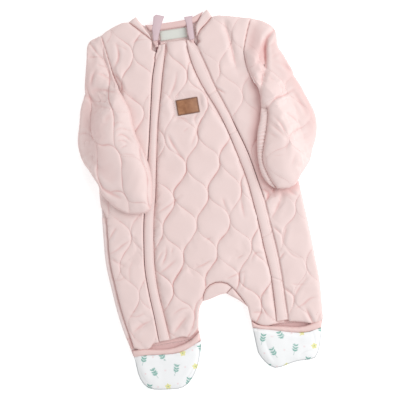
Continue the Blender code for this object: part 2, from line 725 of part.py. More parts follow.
def neck_binding():
    """The neck binding in its three runs."""
    runs = {
        "neck_binding_left": (outline(
            curve(BAND_LEFT, 6),
            curve(BAND_TIP_LEFT, 6),
            curve(NECK_SEAM_LEFT[::-1], 6),
            straight(NECK_SEAM_LEFT[0], BAND_LEFT[0], 6),
        ), 7.0),
        "neck_binding_right": (outline(
            curve(BAND_RIGHT, 6),
            curve(BAND_TIP_RIGHT, 6),
            curve(NECK_SEAM_RIGHT[::-1], 6),
            straight(NECK_SEAM_RIGHT[0], BAND_RIGHT[0], 6),
        ), 7.0),
        "neck_binding_back": (outline(
            curve(BAND_BACK_TOP, 6),
            straight(BAND_BACK_TOP[-1], BAND_BACK_LOW[0], 6),
            curve(BAND_BACK_LOW, 6),
            straight(BAND_BACK_LOW[-1], BAND_BACK_TOP[0], 6),
        ), 4.0),
    }
    for name, (loop, thick) in runs.items():
        plain(name, inset(loop, SEAM_GAP / 2), level_base(FRONT_BASE), thick, "binding_pink", 4.0, (1.2, 3.0))


def labels():
    """The blank leather patch on the chest and the blank woven label inside the back of the neck."""
    for name, label in LABELS.items():
        x, y = label["centre"]
        block(name, label["size"], label["finish"], (x, y, FRONT_BASE + label["seat"]), label["turn"], label["edge"])


# ---------------------------------------------------------------- sleeves, mittens and feet

def sleeve_ramp(side):
    """What a sleeve lies on: the surface beside the body, a ramp, and the front where the sleeve crosses it."""
    seam = by_level(SIDES, side)
    armhole = curve((ARMHOLE_LEFT if side == "left" else ARMHOLE_RIGHT)[3:])
    edge = np.vstack([armhole, seam[1:]])
    middle = 0.3 * seam[-1, 0]
    body = np.vstack([edge, (middle, seam[-1, 1]), (middle, armhole[0, 1])])
    sign = 1 if side == "left" else -1
    bends = [edge - sign * away * inward(body)[:len(edge)] for away in RAMP["away"]]

    def base(points):
        away = np.where(inside(points, body), 0.0, distance(points, body))
        return SLEEVE_LIFT * np.interp(away, RAMP["away"], RAMP["share"])

    return base, bends


def slit_cutter(loop, base, opening, bends=()):
    """The flat hollow inside a sleeve, mitten or foot, which runs out through its open end."""
    open_end = distance(loop, opening, closed=False) < 0.6
    closed_rim = inset(loop, 6.0)
    passed = inset(loop, -8.0)
    in_rim = ~open_end & inside(closed_rim, loop) & (distance(closed_rim, loop) > 5.5)
    in_mouth = open_end & (distance(loop, loop[~open_end], closed=False) > 7.0)
    inner = np.where(open_end[:, None], passed, closed_rim)[in_rim | in_mouth]
    inner = inner[np.linalg.norm(inner - np.roll(inner, 1, axis=0), axis=1) > 3.0]
    spots, lines = with_features(scattered(inner, 20.0, 5.0), [], bends, inner)
    return wall(inner, lambda points: base(points) + SLIT, base, (), spots, lines, (), spots, lines)


def sleeve(side):
    """A sleeve with its mitten, laid down over the body: one flattened tube, open at the armhole."""
    name = "sleeve_" + side
    if side == "left":
        opening = curve(ARMHOLE_LEFT[:4])
        loop = outline(curve(SLEEVE_LEFT_OUT), curve(SLEEVE_LEFT_IN), opening[::-1])
    else:
        opening = curve(ARMHOLE_RIGHT[:6])
        loop = outline(curve(SLEEVE_RIGHT_OUT), opening, curve(SLEEVE_RIGHT_IN))
    base, bends = sleeve_ramp(side)
    loop = inset(loop, SEAM_GAP / 2)
    net = Quilting(NETS[name])
    piece = quilted(name, loop, net, base, OVER_WALL + SLIT, SLEEVE_PUFF, None, UNDER_WALL, bends)
    hollow = slit_cutter(loop, lambda points: base(points) + UNDER_WALL, opening, bends)
    cut_away(piece, hollow, "hollow_" + name)


def hand_band():
    """The band of the right mitten's hand opening, on the front."""
    loop = inset(outline(curve(HAND_BAND_IN), curve(HAND_BAND_OUT)), SEAM_GAP / 2)
    plain("hand_band_right", loop, level_base(SLEEVE_LIFT), 9.5, "quilted_satin", 5.0, (2.5,))


def foot_pocket(side):
    """A foot pocket of printed lining: an under layer from the back's hem and an upper layer with a bound mouth."""
    left = side == "left"
    rim = FOOT_LEFT_RIM if left else FOOT_RIGHT_RIM
    mouth = curve(FOOT_LEFT_MOUTH if left else FOOT_RIGHT_MOUTH)
    lower = curve(FOOT_LEFT_BINDING if left else FOOT_RIGHT_BINDING)
    loop = inset(outline(curve(rim), straight(rim[-1], rim[0])), SEAM_GAP / 2)
    middle = FOOT_UNDER
    full = FOOT_UNDER + SLIT + FOOT_OVER

    def top(points):
        swell = rounded(distance(points, loop) / 16.0)
        return middle + 1.5 + (full - middle - 1.5) * swell

    def bottom(points):
        return 3.0 * (1 - rounded(distance(points, loop) / 6.0))

    spots = scattered(loop, 15.0, 9.0)
    name = "foot_pocket_" + side
    piece = add_piece(name, wall(loop, top, bottom, (2.5, 7.0), spots, (), (4.0,)), "printed_lining")
    gap = np.array([0, -SEAM_GAP])
    above = outline(
        lower + gap,
        straight(lower[-1] + gap, lower[-1] + (0, 60)),
        straight(lower[-1] + (0, 60), lower[0] + (0, 60)),
        straight(lower[0] + (0, 60), lower[0] + gap),
    )
    above[:, 0] = np.where(above[:, 0] < lower[:, 0].min() + 1, above[:, 0] - 12, above[:, 0])
    above[:, 0] = np.where(above[:, 0] > lower[:, 0].max() - 1, above[:, 0] + 12, above[:, 0])
    mouth_cut = wall(above, level_base(40.0), level_base(FOOT_UNDER), (), None, (), (), None)
    cut_away(piece, mouth_cut, "mouth_" + name)
    hollow = slit_cutter(loop, level_base(FOOT_UNDER), straight(rim[-1], rim[0]))
    cut_away(piece, hollow, "hollow_" + name)
    ends = inset(outline(
        mouth,
        straight(mouth[-1], lower[-1]),
        lower[::-1],
        straight(lower[0], mouth[0]),
    ), SEAM_GAP / 2)
    plain("foot_binding_" + side, ends, level_base(FRONT_BASE), 5.0, "binding_pink", 4.5, (1.5, 4.0))
    return piece


def main():
    for leftover in list(bpy.data.objects):
        bpy.data.objects.remove(leftover)
    laid_flat = bpy.data.objects.new("laid_flat", None)
    bpy.context.scene.collection.objects.link(laid_flat)
    body_net = Quilting(NETS["body"])
    back_panel()
    gusset()
    centre_front(body_net)
    for side in ("left", "right"):
        side_front(side, body_net)
        zip_line(side)
        placket(side)
        slider(side)
        ribbon(side)
        sleeve(side)
        foot_pocket(side)
    hand_band()
    neck_binding()
    labels()


main()
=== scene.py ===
# %% [markdown]
# # A quilted baby romper, laid flat
#
# The real romper is sewn from padded satin with a leaf-shaped quilting net. Two zips run down its
# front, its sleeves end in mittens that lie over the body, and its feet are pockets of white
# printed cotton. This script takes the solid model as a fixed frame and dresses it: every piece of
# cloth becomes a soft, finely meshed copy of its solid.
#
# The first cell loads the frame. The drawing sizes in this script are in millimetres, and `MM`
# turns them into Blender's metres.

# %% Load the frame
import math

import bmesh
import bpy
import numpy as np
from mathutils import Matrix, Vector
from mathutils.bvhtree import BVHTree
from mathutils.kdtree import KDTree


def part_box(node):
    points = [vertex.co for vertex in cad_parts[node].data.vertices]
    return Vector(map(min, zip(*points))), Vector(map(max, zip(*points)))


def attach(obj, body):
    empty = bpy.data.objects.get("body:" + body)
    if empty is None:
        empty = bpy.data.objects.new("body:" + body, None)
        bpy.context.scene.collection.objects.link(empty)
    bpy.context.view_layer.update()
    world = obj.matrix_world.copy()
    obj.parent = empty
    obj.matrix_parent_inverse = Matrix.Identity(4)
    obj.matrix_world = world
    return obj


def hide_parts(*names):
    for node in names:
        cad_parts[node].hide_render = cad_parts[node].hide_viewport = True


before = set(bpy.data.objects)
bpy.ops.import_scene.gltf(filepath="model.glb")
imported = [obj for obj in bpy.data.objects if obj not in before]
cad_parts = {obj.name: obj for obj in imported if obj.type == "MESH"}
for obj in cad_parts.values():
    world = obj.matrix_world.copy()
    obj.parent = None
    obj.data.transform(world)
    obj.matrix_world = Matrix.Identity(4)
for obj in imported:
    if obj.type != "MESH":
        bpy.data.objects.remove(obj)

MM = 0.001
UP = Vector((0, 0, 1))
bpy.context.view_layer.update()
scene = bpy.context.scene
print("solid pieces:", len(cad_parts))

# %% [markdown]
# ## The camera
#
# The photograph was taken from straight above, with the romper turned a little anticlockwise in the
# picture. A camera could be tilted by eye, but here the romper's frame is fixed, so the camera
# turns by the same angle the other way. A long lens from two metres up keeps the near and far cloth
# almost the same size, as in the photograph.

# %% Camera
TURN_IN_PICTURE = math.radians(9.8)
VIEW_CENTRE = (-5.3, 17.7)
VIEW_WIDTH = 660.0
LENS = 120.0

camera_data = bpy.data.cameras.new("camera")
camera_data.lens = LENS
camera = bpy.data.objects.new("camera", camera_data)
camera_height = VIEW_WIDTH * MM * LENS / camera_data.sensor_width
camera.location = (VIEW_CENTRE[0] * MM, VIEW_CENTRE[1] * MM, camera_height)
camera.rotation_euler.z = -TURN_IN_PICTURE
scene.collection.objects.link(camera)
scene.camera = camera
print("camera height in m:", round(camera_height, 2))

# %% [markdown]
# ## Helpers for shader nodes
#
# Wiring a material one link at a time takes many lines. Here `plug` gives an input either a fixed
# value or the output of another node, and `node_in` adds a node with its inputs plugged. The small
# functions after them each add one kind of node that several materials use.

# %% Helpers for shader nodes
COLOUR_A, COLOUR_B, COLOUR_RESULT = 6, 7, 2


def plug(tree, inputs, given):
    """Gives inputs their values: fixed ones, or outputs of other nodes to link to."""
    for key, value in given.items():
        if isinstance(value, bpy.types.NodeSocket):
            tree.links.new(value, inputs[key])
        else:
            inputs[key].default_value = value


def node_in(tree, kind, inputs=None, **settings):
    """Adds a shader node, sets its properties, plugs its inputs and returns its outputs."""
    node = tree.nodes.new(kind)
    for key, value in settings.items():
        setattr(node, key, value)
    plug(tree, node.inputs, inputs or {})
    return node.outputs


def calc(tree, operation, *values):
    """One operation of a Math node."""
    return node_in(tree, "ShaderNodeMath", dict(enumerate(values)), operation=operation)["Value"]


def noise(tree, place, scale, detail):
    return node_in(tree, "ShaderNodeTexNoise", {"Vector": place, "Scale": scale, "Detail": detail})["Fac"]


def ranged(tree, value, low, high, to_low=0.0, to_high=1.0):
    """Carries a value from one range over to another."""
    inputs = {"Value": value, "From Min": low, "From Max": high, "To Min": to_low, "To Max": to_high}
    return node_in(tree, "ShaderNodeMapRange", inputs)["Result"]


def blended(tree, share, first, second, **settings):
    """Mixes two colours. A Mix node has several inputs called A, so its colours go by number."""
    inputs = {"Factor": share, COLOUR_A: first, COLOUR_B: second}
    return node_in(tree, "ShaderNodeMix", inputs, data_type="RGBA", **settings)[COLOUR_RESULT]


def shades(tree, share, dark, pale, start=0.0, end=1.0):
    """A colour ramp from one colour to another."""
    ramp = tree.nodes.new("ShaderNodeValToRGB")
    for element, position, colour in zip(ramp.color_ramp.elements, (start, end), (dark, pale)):
        element.position = position
        element.color = (*colour, 1)
    plug(tree, ramp.inputs, {"Fac": share})
    return ramp.outputs["Color"]


def bumped(tree, height, strength, depth):
    """The normals of a bump of some depth in mm."""
    inputs = {"Height": height, "Strength": strength, "Distance": depth * MM}
    return node_in(tree, "ShaderNodeBump", inputs)["Normal"]


def new_material(name):
    """A material, its node tree and the inputs of its shader."""
    material = bpy.data.materials.new(name)
    material.use_nodes = True
    tree = material.node_tree
    return material, tree, tree.nodes["Principled BSDF"].inputs


print("shader helpers ready")

# %% [markdown]
# ## Floor and light
#
# A studio shot on white is mostly light from everywhere, with one large lamp that gives the folds
# their soft shading. The white world is the light from everywhere. The large lamp stands to the
# upper right of the picture, because the shaded sides of the real folds face the lower left.

# %% Floor and light
WORLD_STRENGTH = 0.70
KEY_POWER = 19.0
KEY_SIZE = 1.4
KEY_BEARING = math.radians(14)
KEY_RISE = math.radians(40)
KEY_DISTANCE = 1.9
FLOOR_SIZE = 4.0
FLOOR_GLOW = 0.38
FLOOR_DARK, FLOOR_PALE = (0.90, 0.90, 0.90), (0.92, 0.92, 0.92)


def studio():
    """A pale floor, a white world and one large soft lamp."""
    bm = bmesh.new()
    bmesh.ops.create_grid(bm, x_segments=2, y_segments=2, size=FLOOR_SIZE)
    mesh = bpy.data.meshes.new("floor")
    bm.to_mesh(mesh)
    bm.free()
    floor = bpy.data.objects.new("floor", mesh)
    paper, tree, shader = new_material("pale_paper")
    grain = node_in(tree, "ShaderNodeTexNoise", {"Scale": 3.0})["Fac"]
    plug(tree, shader, {
        "Base Color": shades(tree, grain, FLOOR_DARK, FLOOR_PALE),
        "Roughness": 0.9,
        "Specular IOR Level": 0.1,
        "Emission Color": (1, 1, 1, 1),
        "Emission Strength": FLOOR_GLOW,
    })
    mesh.materials.append(paper)
    scene.collection.objects.link(floor)

    world = bpy.data.worlds.new("white_room")
    world.use_nodes = True
    background = world.node_tree.nodes["Background"].inputs
    plug(world.node_tree, background, {"Color": (1, 1, 1, 1), "Strength": WORLD_STRENGTH})
    scene.world = world

    lamp = bpy.data.lights.new("window", "AREA")
    lamp.size = KEY_SIZE
    lamp.energy = KEY_POWER
    bearing = KEY_BEARING - TURN_IN_PICTURE
    level = math.cos(KEY_RISE)
    way = Vector((math.cos(bearing) * level, math.sin(bearing) * level, math.sin(KEY_RISE)))
    key = bpy.data.objects.new("window", lamp)
    key.location = way * KEY_DISTANCE
    key.rotation_euler = (-way).to_track_quat("-Z", "Y").to_euler()
    scene.collection.objects.link(key)
    scene.view_settings.view_transform = "Standard"


studio()
print("floor and lamp ready")

# %% [markdown]
# ## Cloth meshes
#
# Every soft piece starts as a copy of its solid. The solid's mesh is loose triangles, so the copy
# is merged first. Its upper faces are then divided, because only they are seen: a face counts as
# upper when it faces up and nothing of the same piece lies over it, which leaves the inside of a
# sleeve out. The solid's own edges stay edges, so the sewn lines keep their exact place, which a
# voxel remesh would blur.

# %% Helpers for cloth meshes
WELD = 0.002
SEAM_FILL, LEAST_SLOPE = 0.14, 0.35
FACING_UP, RAY_START = 0.02, 0.02
OUTWARD = {"left": -1, "right": 1}


def points_of(mesh):
    flat = np.empty(len(mesh.vertices) * 3)
    mesh.vertices.foreach_get("co", flat)
    return flat.reshape(-1, 3)


def move_to(mesh, points):
    mesh.vertices.foreach_set("co", points.ravel())
    mesh.update()


def normals_of(mesh):
    flat = np.empty(len(mesh.vertices) * 3)
    mesh.vertex_normals.foreach_get("vector", flat)
    return flat.reshape(-1, 3)


def edges_of(mesh):
    flat = np.empty(len(mesh.edges) * 2, int)
    mesh.edges.foreach_get("vertices", flat)
    return flat.reshape(-1, 2)


def places_in(bm):
    """The vertices of a bmesh in mm."""
    bm.verts.index_update()
    return np.array([vert.co for vert in bm.verts]) / MM


def place_all(bm, places):
    for vert, place in zip(bm.verts, places * MM):
        vert.co = place


def merged_copy(node):
    """The mesh of a solid with its loose triangles joined, as a bmesh."""
    bm = bmesh.new()
    bm.from_mesh(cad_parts[node].data)
    bmesh.ops.remove_doubles(bm, verts=bm.verts, dist=WELD * MM)
    return bm


def outer_faces(bm):
    """The faces that face up and have nothing of the same piece over them."""
    bm.normal_update()
    tree = BVHTree.FromBMesh(bm)
    chosen = []
    for face in bm.faces:
        if face.normal.z > FACING_UP:
            above = tree.ray_cast(face.calc_center_median() + UP * RAY_START * MM, UP)
            if above[0] is None:
                chosen.append(face)
    return chosen


def upper_verts(bm):
    return {vert for face in outer_faces(bm) for vert in face.verts}


def loose_points(bm):
    """The vertices of the upper side that aren't on its rim."""
    faces = set(outer_faces(bm))
    verts = {vert for face in faces for vert in face.verts}
    return [vert for vert in verts if all(face in faces for face in vert.link_faces)]


def flags(bm, verts):
    """True for each vertex of a mesh that is among the given ones."""
    bm.verts.index_update()
    chosen = np.zeros(len(bm.verts), bool)
    chosen[[vert.index for vert in verts]] = True
    return chosen


def refine(bm, rounds, smooth=0):
    """Divides each upper face in four, a few times over, and smooths between the divisions."""
    for _ in range(rounds):
        edges = {edge for face in outer_faces(bm) for edge in face.edges}
        bmesh.ops.subdivide_edges(bm, edges=list(edges), cuts=1, use_grid_fill=True)
        if smooth:
            soften(bm, loose_points(bm), smooth)


def soften(bm, verts, times):
    for _ in range(times):
        bmesh.ops.smooth_vert(bm, verts=verts, factor=0.5, use_axis_x=True, use_axis_y=True,
                              use_axis_z=True)


def rim_spots(bm, above=-100.0):
    """Points a millimetre apart round the rim of a piece's upper side, in mm, seen from above."""
    faces = {face for face in outer_faces(bm) if face.calc_center_median().z > above * MM}
    spots = []
    for edge in bm.edges:
        if sum(face in faces for face in edge.link_faces) == 1:
            start, end = [np.array(vert.co) / MM for vert in edge.verts]
            shares = np.linspace(0, 1, max(2, int(np.linalg.norm(end - start)) + 1))[:, None]
            spots.append(start + shares * (end - start))
    return np.vstack(spots)[:, :2]


def plan_tree(spots):
    """A search tree of points seen from above."""
    tree = KDTree(len(spots))
    for index, (x, y) in enumerate(spots):
        tree.insert((x, y, 0), index)
    tree.balance()
    return tree


def plan_distance(places, tree):
    return np.array([tree.find((x, y, 0))[2] for x, y in places[:, :2]])


def rim_tree(node):
    """A search tree of the rim of a solid's upper side, seen from above."""
    solid = merged_copy(node)
    tree = plan_tree(rim_spots(solid))
    solid.free()
    return tree


def covers(tree, x, y):
    """Whether a piece covers a place, in mm, seen from above."""
    return tree.ray_cast(Vector((x * MM, y * MM, -1)), UP)[0] is not None


def box_of(node):
    """The two corners of a solid's box, in mm."""
    return [np.array(corner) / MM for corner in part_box(node)]


def row_spans(node, levels, along=1):
    """The lowest and highest x (or y, for along 0) of a solid at levels of y (or x), in mm."""
    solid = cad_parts[node].data
    places = points_of(solid) / MM
    start, end = places[edges_of(solid)].transpose(1, 0, 2)
    spans = []
    for level in levels:
        cut = (start[:, along] - level) * (end[:, along] - level) < 0
        share = (level - start[cut, along]) / (end[cut, along] - start[cut, along])
        across = start[cut, 1 - along] + share * (end[cut, 1 - along] - start[cut, 1 - along])
        spans.append((across.min(), across.max()))
    return np.array(spans)


def edges_at(values, levels, spans):
    """The lower and the upper edge of a piece between the levels at which its spans are known."""
    return [np.interp(values, levels, spans[:, k]) for k in (0, 1)]


def fill_seams(mesh):
    """Pushes a piece's walls out a little, so that two pieces nearly touch at their seam."""
    places, normals = points_of(mesh), normals_of(mesh)
    slope = np.linalg.norm(normals[:, :2], axis=1)[:, None]
    places[:, :2] += SEAM_FILL * MM * normals[:, :2] / np.maximum(slope, LEAST_SLOPE)
    move_to(mesh, places)


def mesh_from(bm, name):
    mesh = bpy.data.meshes.new(name)
    bm.to_mesh(mesh)
    bm.free()
    return mesh


def add_piece(name, mesh, material, slot, *nodes):
    """One finished piece: linked, smooth, riding on the one body, standing for its solids."""
    piece = bpy.data.objects.new(name, mesh)
    scene.collection.objects.link(piece)
    mesh.materials.clear()
    mesh.materials.append(material)
    mesh.shade_smooth()
    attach(piece, "root")
    if nodes:
        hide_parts(*nodes)
    return piece


print("cloth helpers ready")

# %% [markdown]
# ## The quilting net
#
# The padding is held by two families of swaying sewn lines that cross at knots and leave
# leaf-shaped pads between them. The lines could be drawn one by one. Here a formula places a point
# of the net on the cloth from two numbers, u and v, and every sewn line is where u or v is whole.
# Going back from the cloth to u and v has no formula, so it is found by halving an interval. The
# same net shaped the solids, so copies of them already have edges along the lines.

# %% The quilting net
LINE_SWAY = 0.85
NETS = {
    "body": {"knot": (-18.5, 76.9), "right": (27.5, -49.0), "left": (-27.5, -49.0)},
    "sleeve_left": {"knot": (-158, 143), "right": (36, -26), "left": (-2, -74)},
    "sleeve_right": {"knot": (155, 91), "right": (34, -54), "left": (-42, -32)},
}


def sway(t):
    return t - LINE_SWAY * np.sin(2 * math.pi * t) / (2 * math.pi)


def on_cloth(net, u, v):
    """Where points of a net lie on the cloth, in mm."""
    down, across = (u + v) / 2, (sway(u) - sway(v)) / 2
    steps = np.array([net["right"], net["left"]], float)
    return np.array(net["knot"]) + np.column_stack([down + across, down - across]) @ steps


def in_net(net, points):
    """The u and v of points on the cloth."""
    steps = np.array([net["right"], net["left"]], float)
    right, left = ((points - np.array(net["knot"])) @ np.linalg.inv(steps)).T
    down, across = right + left, right - left
    low = (across + down) / 2 - 0.5
    high = low + 1.0
    for _ in range(24):
        u = (low + high) / 2
        above = sway(u) - sway(down - u) > across
        high = np.where(above, u, high)
        low = np.where(above, low, u)
    return u, down - u


def line_distance(net, u, v):
    """How far points are from the nearest u line and the nearest v line, in mm, with a sign for the side."""
    swing = LINE_SWAY * np.cos(2 * math.pi * u), LINE_SWAY * np.cos(2 * math.pi * v)
    right, left = np.array(net["right"], float), np.array(net["left"], float)
    away = []
    for own, own_swing, cross_swing, first, second in (
        (u, swing[0], swing[1], right, left),
        (v, swing[1], swing[0], left, right),
    ):
        step = 0.5 * ((2 - own_swing)[:, None] * first + own_swing[:, None] * second)
        along = 0.5 * ((2 - cross_swing)[:, None] * second + cross_swing[:, None] * first)
        area = np.abs(step[:, 0] * along[:, 1] - step[:, 1] * along[:, 0])
        away.append((own - np.round(own)) * area / np.linalg.norm(along, axis=1))
    return away


leaf = on_cloth(NETS["body"], np.array([0, 1.0]), np.array([0, 1.0]))
print("body net, one leaf in mm:", np.round(leaf, 1).tolist())

# %% [markdown]
# ## Small random swells
#
# Cloth is never even. `rumple` gives smooth random heights between -1 and 1: random values on a
# square lattice, blended between the lattice points. A fixed seed gives the same cloth on every
# run.

# %% Random swells
LATTICE = 61


def eased(share):
    s = np.clip(share, 0, 1)
    return s * s * (3 - 2 * s)


def rounded(share):
    """A quarter circle: 0 at an edge, 1 from one edge radius inwards."""
    s = np.clip(share, 0, 1)
    return np.sqrt(np.maximum(1 - (1 - s) ** 2, 0))


def bell(away, width):
    """1 where away is 0, and softly down to almost nothing at twice the width."""
    return np.exp(-((away / width) ** 2))


def rumple(points, size, seed):
    """Smooth random heights over points in mm, about one swell for each size."""
    values = np.random.default_rng(seed).uniform(-1, 1, (LATTICE, LATTICE))
    cell = points / size
    low = np.floor(cell).astype(int)
    share = eased(cell - low)

    def corner(i, j):
        return values[(low[:, 0] + i) % LATTICE, (low[:, 1] + j) % LATTICE]

    near = corner(0, 0) * (1 - share[:, 0]) + corner(1, 0) * share[:, 0]
    far = corner(0, 1) * (1 - share[:, 0]) + corner(1, 1) * share[:, 0]
    return near * (1 - share[:, 1]) + far * share[:, 1]


def smoothed(points, edges, rounds, share=0.5):
    """Points moved towards the average of their neighbours."""
    count = np.maximum(np.bincount(edges.ravel(), minlength=len(points)), 1)[:, None]
    for _ in range(rounds):
        total = np.zeros_like(points)
        for axis in range(3):
            total[:, axis] = (
                np.bincount(edges[:, 0], points[edges[:, 1], axis], len(points))
                + np.bincount(edges[:, 1], points[edges[:, 0], axis], len(points))
            )
        points = points + share * (total / count - points)
    return points


print("a few swells:", np.round(rumple(np.array([[0.0, 0.0], [5.0, 5.0]]), 10.0, 1), 2).tolist())

# %% [markdown]
# ## Padding by cloth simulation
#
# The wadding presses the satin up between the sewn lines. The pads could be drawn by a formula, but
# real pads wrinkle where the thread holds the cloth short, and a simulation finds those wrinkles by
# itself. The piece becomes Cloth with a little air pressure and no gravity. The sewn lines and the
# underside are pinned, and a negative shrink gives each pad slightly more cloth than it has room
# for. The result is capped, so that no pad grows out of its place.

# %% Padding
SIM_FRAMES = 20
SIM_SMOOTH = 5
AIR_PRESSURE = 1.5
SPARE_CLOTH = 0.012
LARGEST_MOVE = 1.5


def swell(piece, pinned):
    """Puffs a piece up by cloth simulation and keeps the result in its mesh."""
    group = piece.vertex_groups.new(name="sewn")
    group.add(np.nonzero(pinned)[0].tolist(), 1.0, "REPLACE")
    padding = piece.modifiers.new("padding", "CLOTH")
    settings = padding.settings
    settings.quality = 4
    settings.mass = 0.2
    settings.use_pressure = True
    settings.uniform_pressure_force = AIR_PRESSURE
    settings.shrink_min = -SPARE_CLOTH
    settings.vertex_group_mass = group.name
    settings.effector_weights.gravity = 0.0
    settings.bending_stiffness = 0.05
    start = points_of(piece.data)
    for step in range(1, SIM_FRAMES + 1):
        scene.frame_set(step)
    moved = points_of(piece.evaluated_get(bpy.context.evaluated_depsgraph_get()).data) - start
    length = np.maximum(np.linalg.norm(moved, axis=1), 1e-9)[:, None]
    moved *= np.minimum(1, LARGEST_MOVE * MM / length)
    for _ in range(SIM_SMOOTH):
        moved = np.where(pinned[:, None], 0, smoothed(moved, edges_of(piece.data), 1))
    move_to(piece.data, start + moved)
    scene.frame_set(1)
    piece.modifiers.remove(padding)
    piece.vertex_groups.remove(group)


# %% [markdown]
# ## Hollows and ridges
#
# In its creases satin lies in shade, and on its ridges it catches the light. The materials paint
# this into the colour: painted shade in creases, painted highlights on ridges. They need to know
# which is which, so each cloth mesh carries an attribute, `hollow`: how far a point lies below the
# average of the cloth around it.

# %% Hollows and ridges
HOLLOW_SIZE, HOLLOW_ROUNDS, HOLLOW_SHARE = 0.8, 8, 0.7


def mark_hollows(mesh, marks):
    """Writes the attribute hollow for painted shade and highlights: 1 in a crease, -1 on a ridge. Marks of
    painted shade add to the measured depth.
    """
    points = points_of(mesh)
    rise = smoothed(points, edges_of(mesh), HOLLOW_ROUNDS) - points
    depth = HOLLOW_SHARE * (rise * normals_of(mesh)).sum(1) / (HOLLOW_SIZE * MM)
    depth = np.maximum(depth, 0) * 0.5 + np.minimum(depth, 0) * np.clip(1 - 3 * marks, 0, 1) + marks
    layer = mesh.attributes.new("hollow", "FLOAT", "POINT")
    layer.data.foreach_set("value", np.clip(depth, -1, 1))


print("padding helpers ready")

# %% [markdown]
# ## Cloth materials
#
# A woven cloth needs three things: a weave too fine to model, a colour that drifts a little over
# the piece, with painted shade in creases and painted highlights on ridges, and a soft sheen. The
# weave and the colour are node groups, because the satin, the bindings, the ribbons and the printed
# cotton all use them with their own values. The shader itself stays in each material.

# %% Shader groups
THREAD_UNEVENNESS = 0.3
SLUB_SCALE, CLOUD_SCALE = 900.0, 22.0
DYE_DRIFT = 0.3
SHEEN_ROUGHNESS, CLOTH_SPECULAR = 0.35, 0.35


def group_with(name, inputs, outputs):
    """An empty shader group. Inputs are rows of name, kind and default, outputs of name and kind."""
    tree = bpy.data.node_groups.new(name, "ShaderNodeTree")
    for label, kind, value in inputs:
        socket = tree.interface.new_socket(label, in_out="INPUT", socket_type="NodeSocket" + kind)
        if value is not None:
            socket.default_value = value
    for label, kind in outputs:
        tree.interface.new_socket(label, in_out="OUTPUT", socket_type="NodeSocket" + kind)
    return tree, tree.nodes.new("NodeGroupInput").outputs, tree.nodes.new("NodeGroupOutput").inputs


def weave_group():
    """Two crossing sets of threads, as a height from 0 to 1."""
    tree, given, result = group_with(
        "weave",
        [("Vector", "Vector", None), ("Threads", "Float", 1200.0), ("Slant", "Float", 0.0),
         ("Unevenness", "Float", THREAD_UNEVENNESS)],
        [("Height", "Float")],
    )
    turned = node_in(tree, "ShaderNodeVectorRotate", {"Vector": given["Vector"], "Angle": given["Slant"]},
                     rotation_type="Z_AXIS")["Vector"]
    waves = {"Vector": turned, "Scale": given["Threads"], "Distortion": 0.6}
    threads = [
        node_in(tree, "ShaderNodeTexWave", waves, wave_type="BANDS", bands_direction=direction)["Fac"]
        for direction in ("X", "Y")
    ]
    crossed = calc(tree, "MAXIMUM", *threads)
    slubs = noise(tree, turned, SLUB_SCALE, 2.0)
    mixed = node_in(tree, "ShaderNodeMix", {"Factor": given["Unevenness"], "A": crossed, "B": slubs},
                    data_type="FLOAT")["Result"]
    plug(tree, result, {"Height": mixed})
    return tree


def dye_group():
    """The cloth's colour: drifting a little, with painted shade in hollows and painted highlights on ridges.
    """
    tree, given, result = group_with(
        "dyed_cloth",
        [("Vector", "Vector", None), ("Colour", "Color", (0.8, 0.8, 0.8, 1)),
         ("Crease", "Color", (0.6, 0.4, 0.4, 1)), ("Drift And Painted Highlight", "Color", (0.9, 0.9, 0.9, 1)),
         ("Hollow", "Float", 0.0), ("Drift", "Float", 0.25)],
        [("Color", "Color"), ("Crease", "Float")],
    )
    cloud = noise(tree, given["Vector"], CLOUD_SCALE, 3.0)
    # The colour drifts at random towards the pale colour, which is also the ridges' painted highlight.
    base = blended(tree, calc(tree, "MULTIPLY", cloud, given["Drift"]), given["Colour"], given["Drift And Painted Highlight"])
    # Painted shade: hollows go towards the crease colour.
    down = ranged(tree, given["Hollow"], 0.05, 0.9)
    creased = blended(tree, down, base, given["Crease"])
    # Painted highlight: ridges go towards the pale colour.
    up = ranged(tree, given["Hollow"], -0.1, -1.0, 0.0, 0.6)
    plug(tree, result, {"Color": blended(tree, up, creased, given["Drift And Painted Highlight"]), "Crease": down})
    return tree


WEAVE = weave_group()
DYE = dye_group()


def cloth_material(name, colour, crease, drift_and_painted_light, roughness, sheen, threads, slant=0.0, bump=0.04,
                   print_layer=None):
    """A woven cloth: a dye with painted shade in hollows and painted highlights on ridges, a thread bump and
    a soft sheen.
    """
    material, tree, shader = new_material(name)
    place = node_in(tree, "ShaderNodeTexCoord")["Object"]
    dye = node_in(tree, "ShaderNodeGroup", {
        "Vector": place,
        "Colour": (*colour, 1),
        "Crease": (*crease, 1),
        "Drift And Painted Highlight": (*drift_and_painted_light, 1),
        "Hollow": node_in(tree, "ShaderNodeAttribute", attribute_name="hollow")["Fac"],
        "Drift": DYE_DRIFT,
    }, node_tree=DYE)
    base = dye["Color"]
    if print_layer:
        ink = node_in(tree, "ShaderNodeAttribute", attribute_name=print_layer)["Color"]
        base = blended(tree, 1.0, ink, base, blend_type="MULTIPLY")
    weave = node_in(tree, "ShaderNodeGroup", {"Vector": place, "Threads": threads, "Slant": slant},
                    node_tree=WEAVE)
    plug(tree, shader, {
        "Base Color": base,
        "Roughness": ranged(tree, dye["Crease"], 0.0, 1.0, roughness, min(1.0, roughness + 0.2)),
        "Specular IOR Level": CLOTH_SPECULAR,
        "Sheen Weight": sheen,
        "Sheen Roughness": SHEEN_ROUGHNESS,
        "Normal": bumped(tree, weave["Height"], 0.5, bump),
    })
    return material
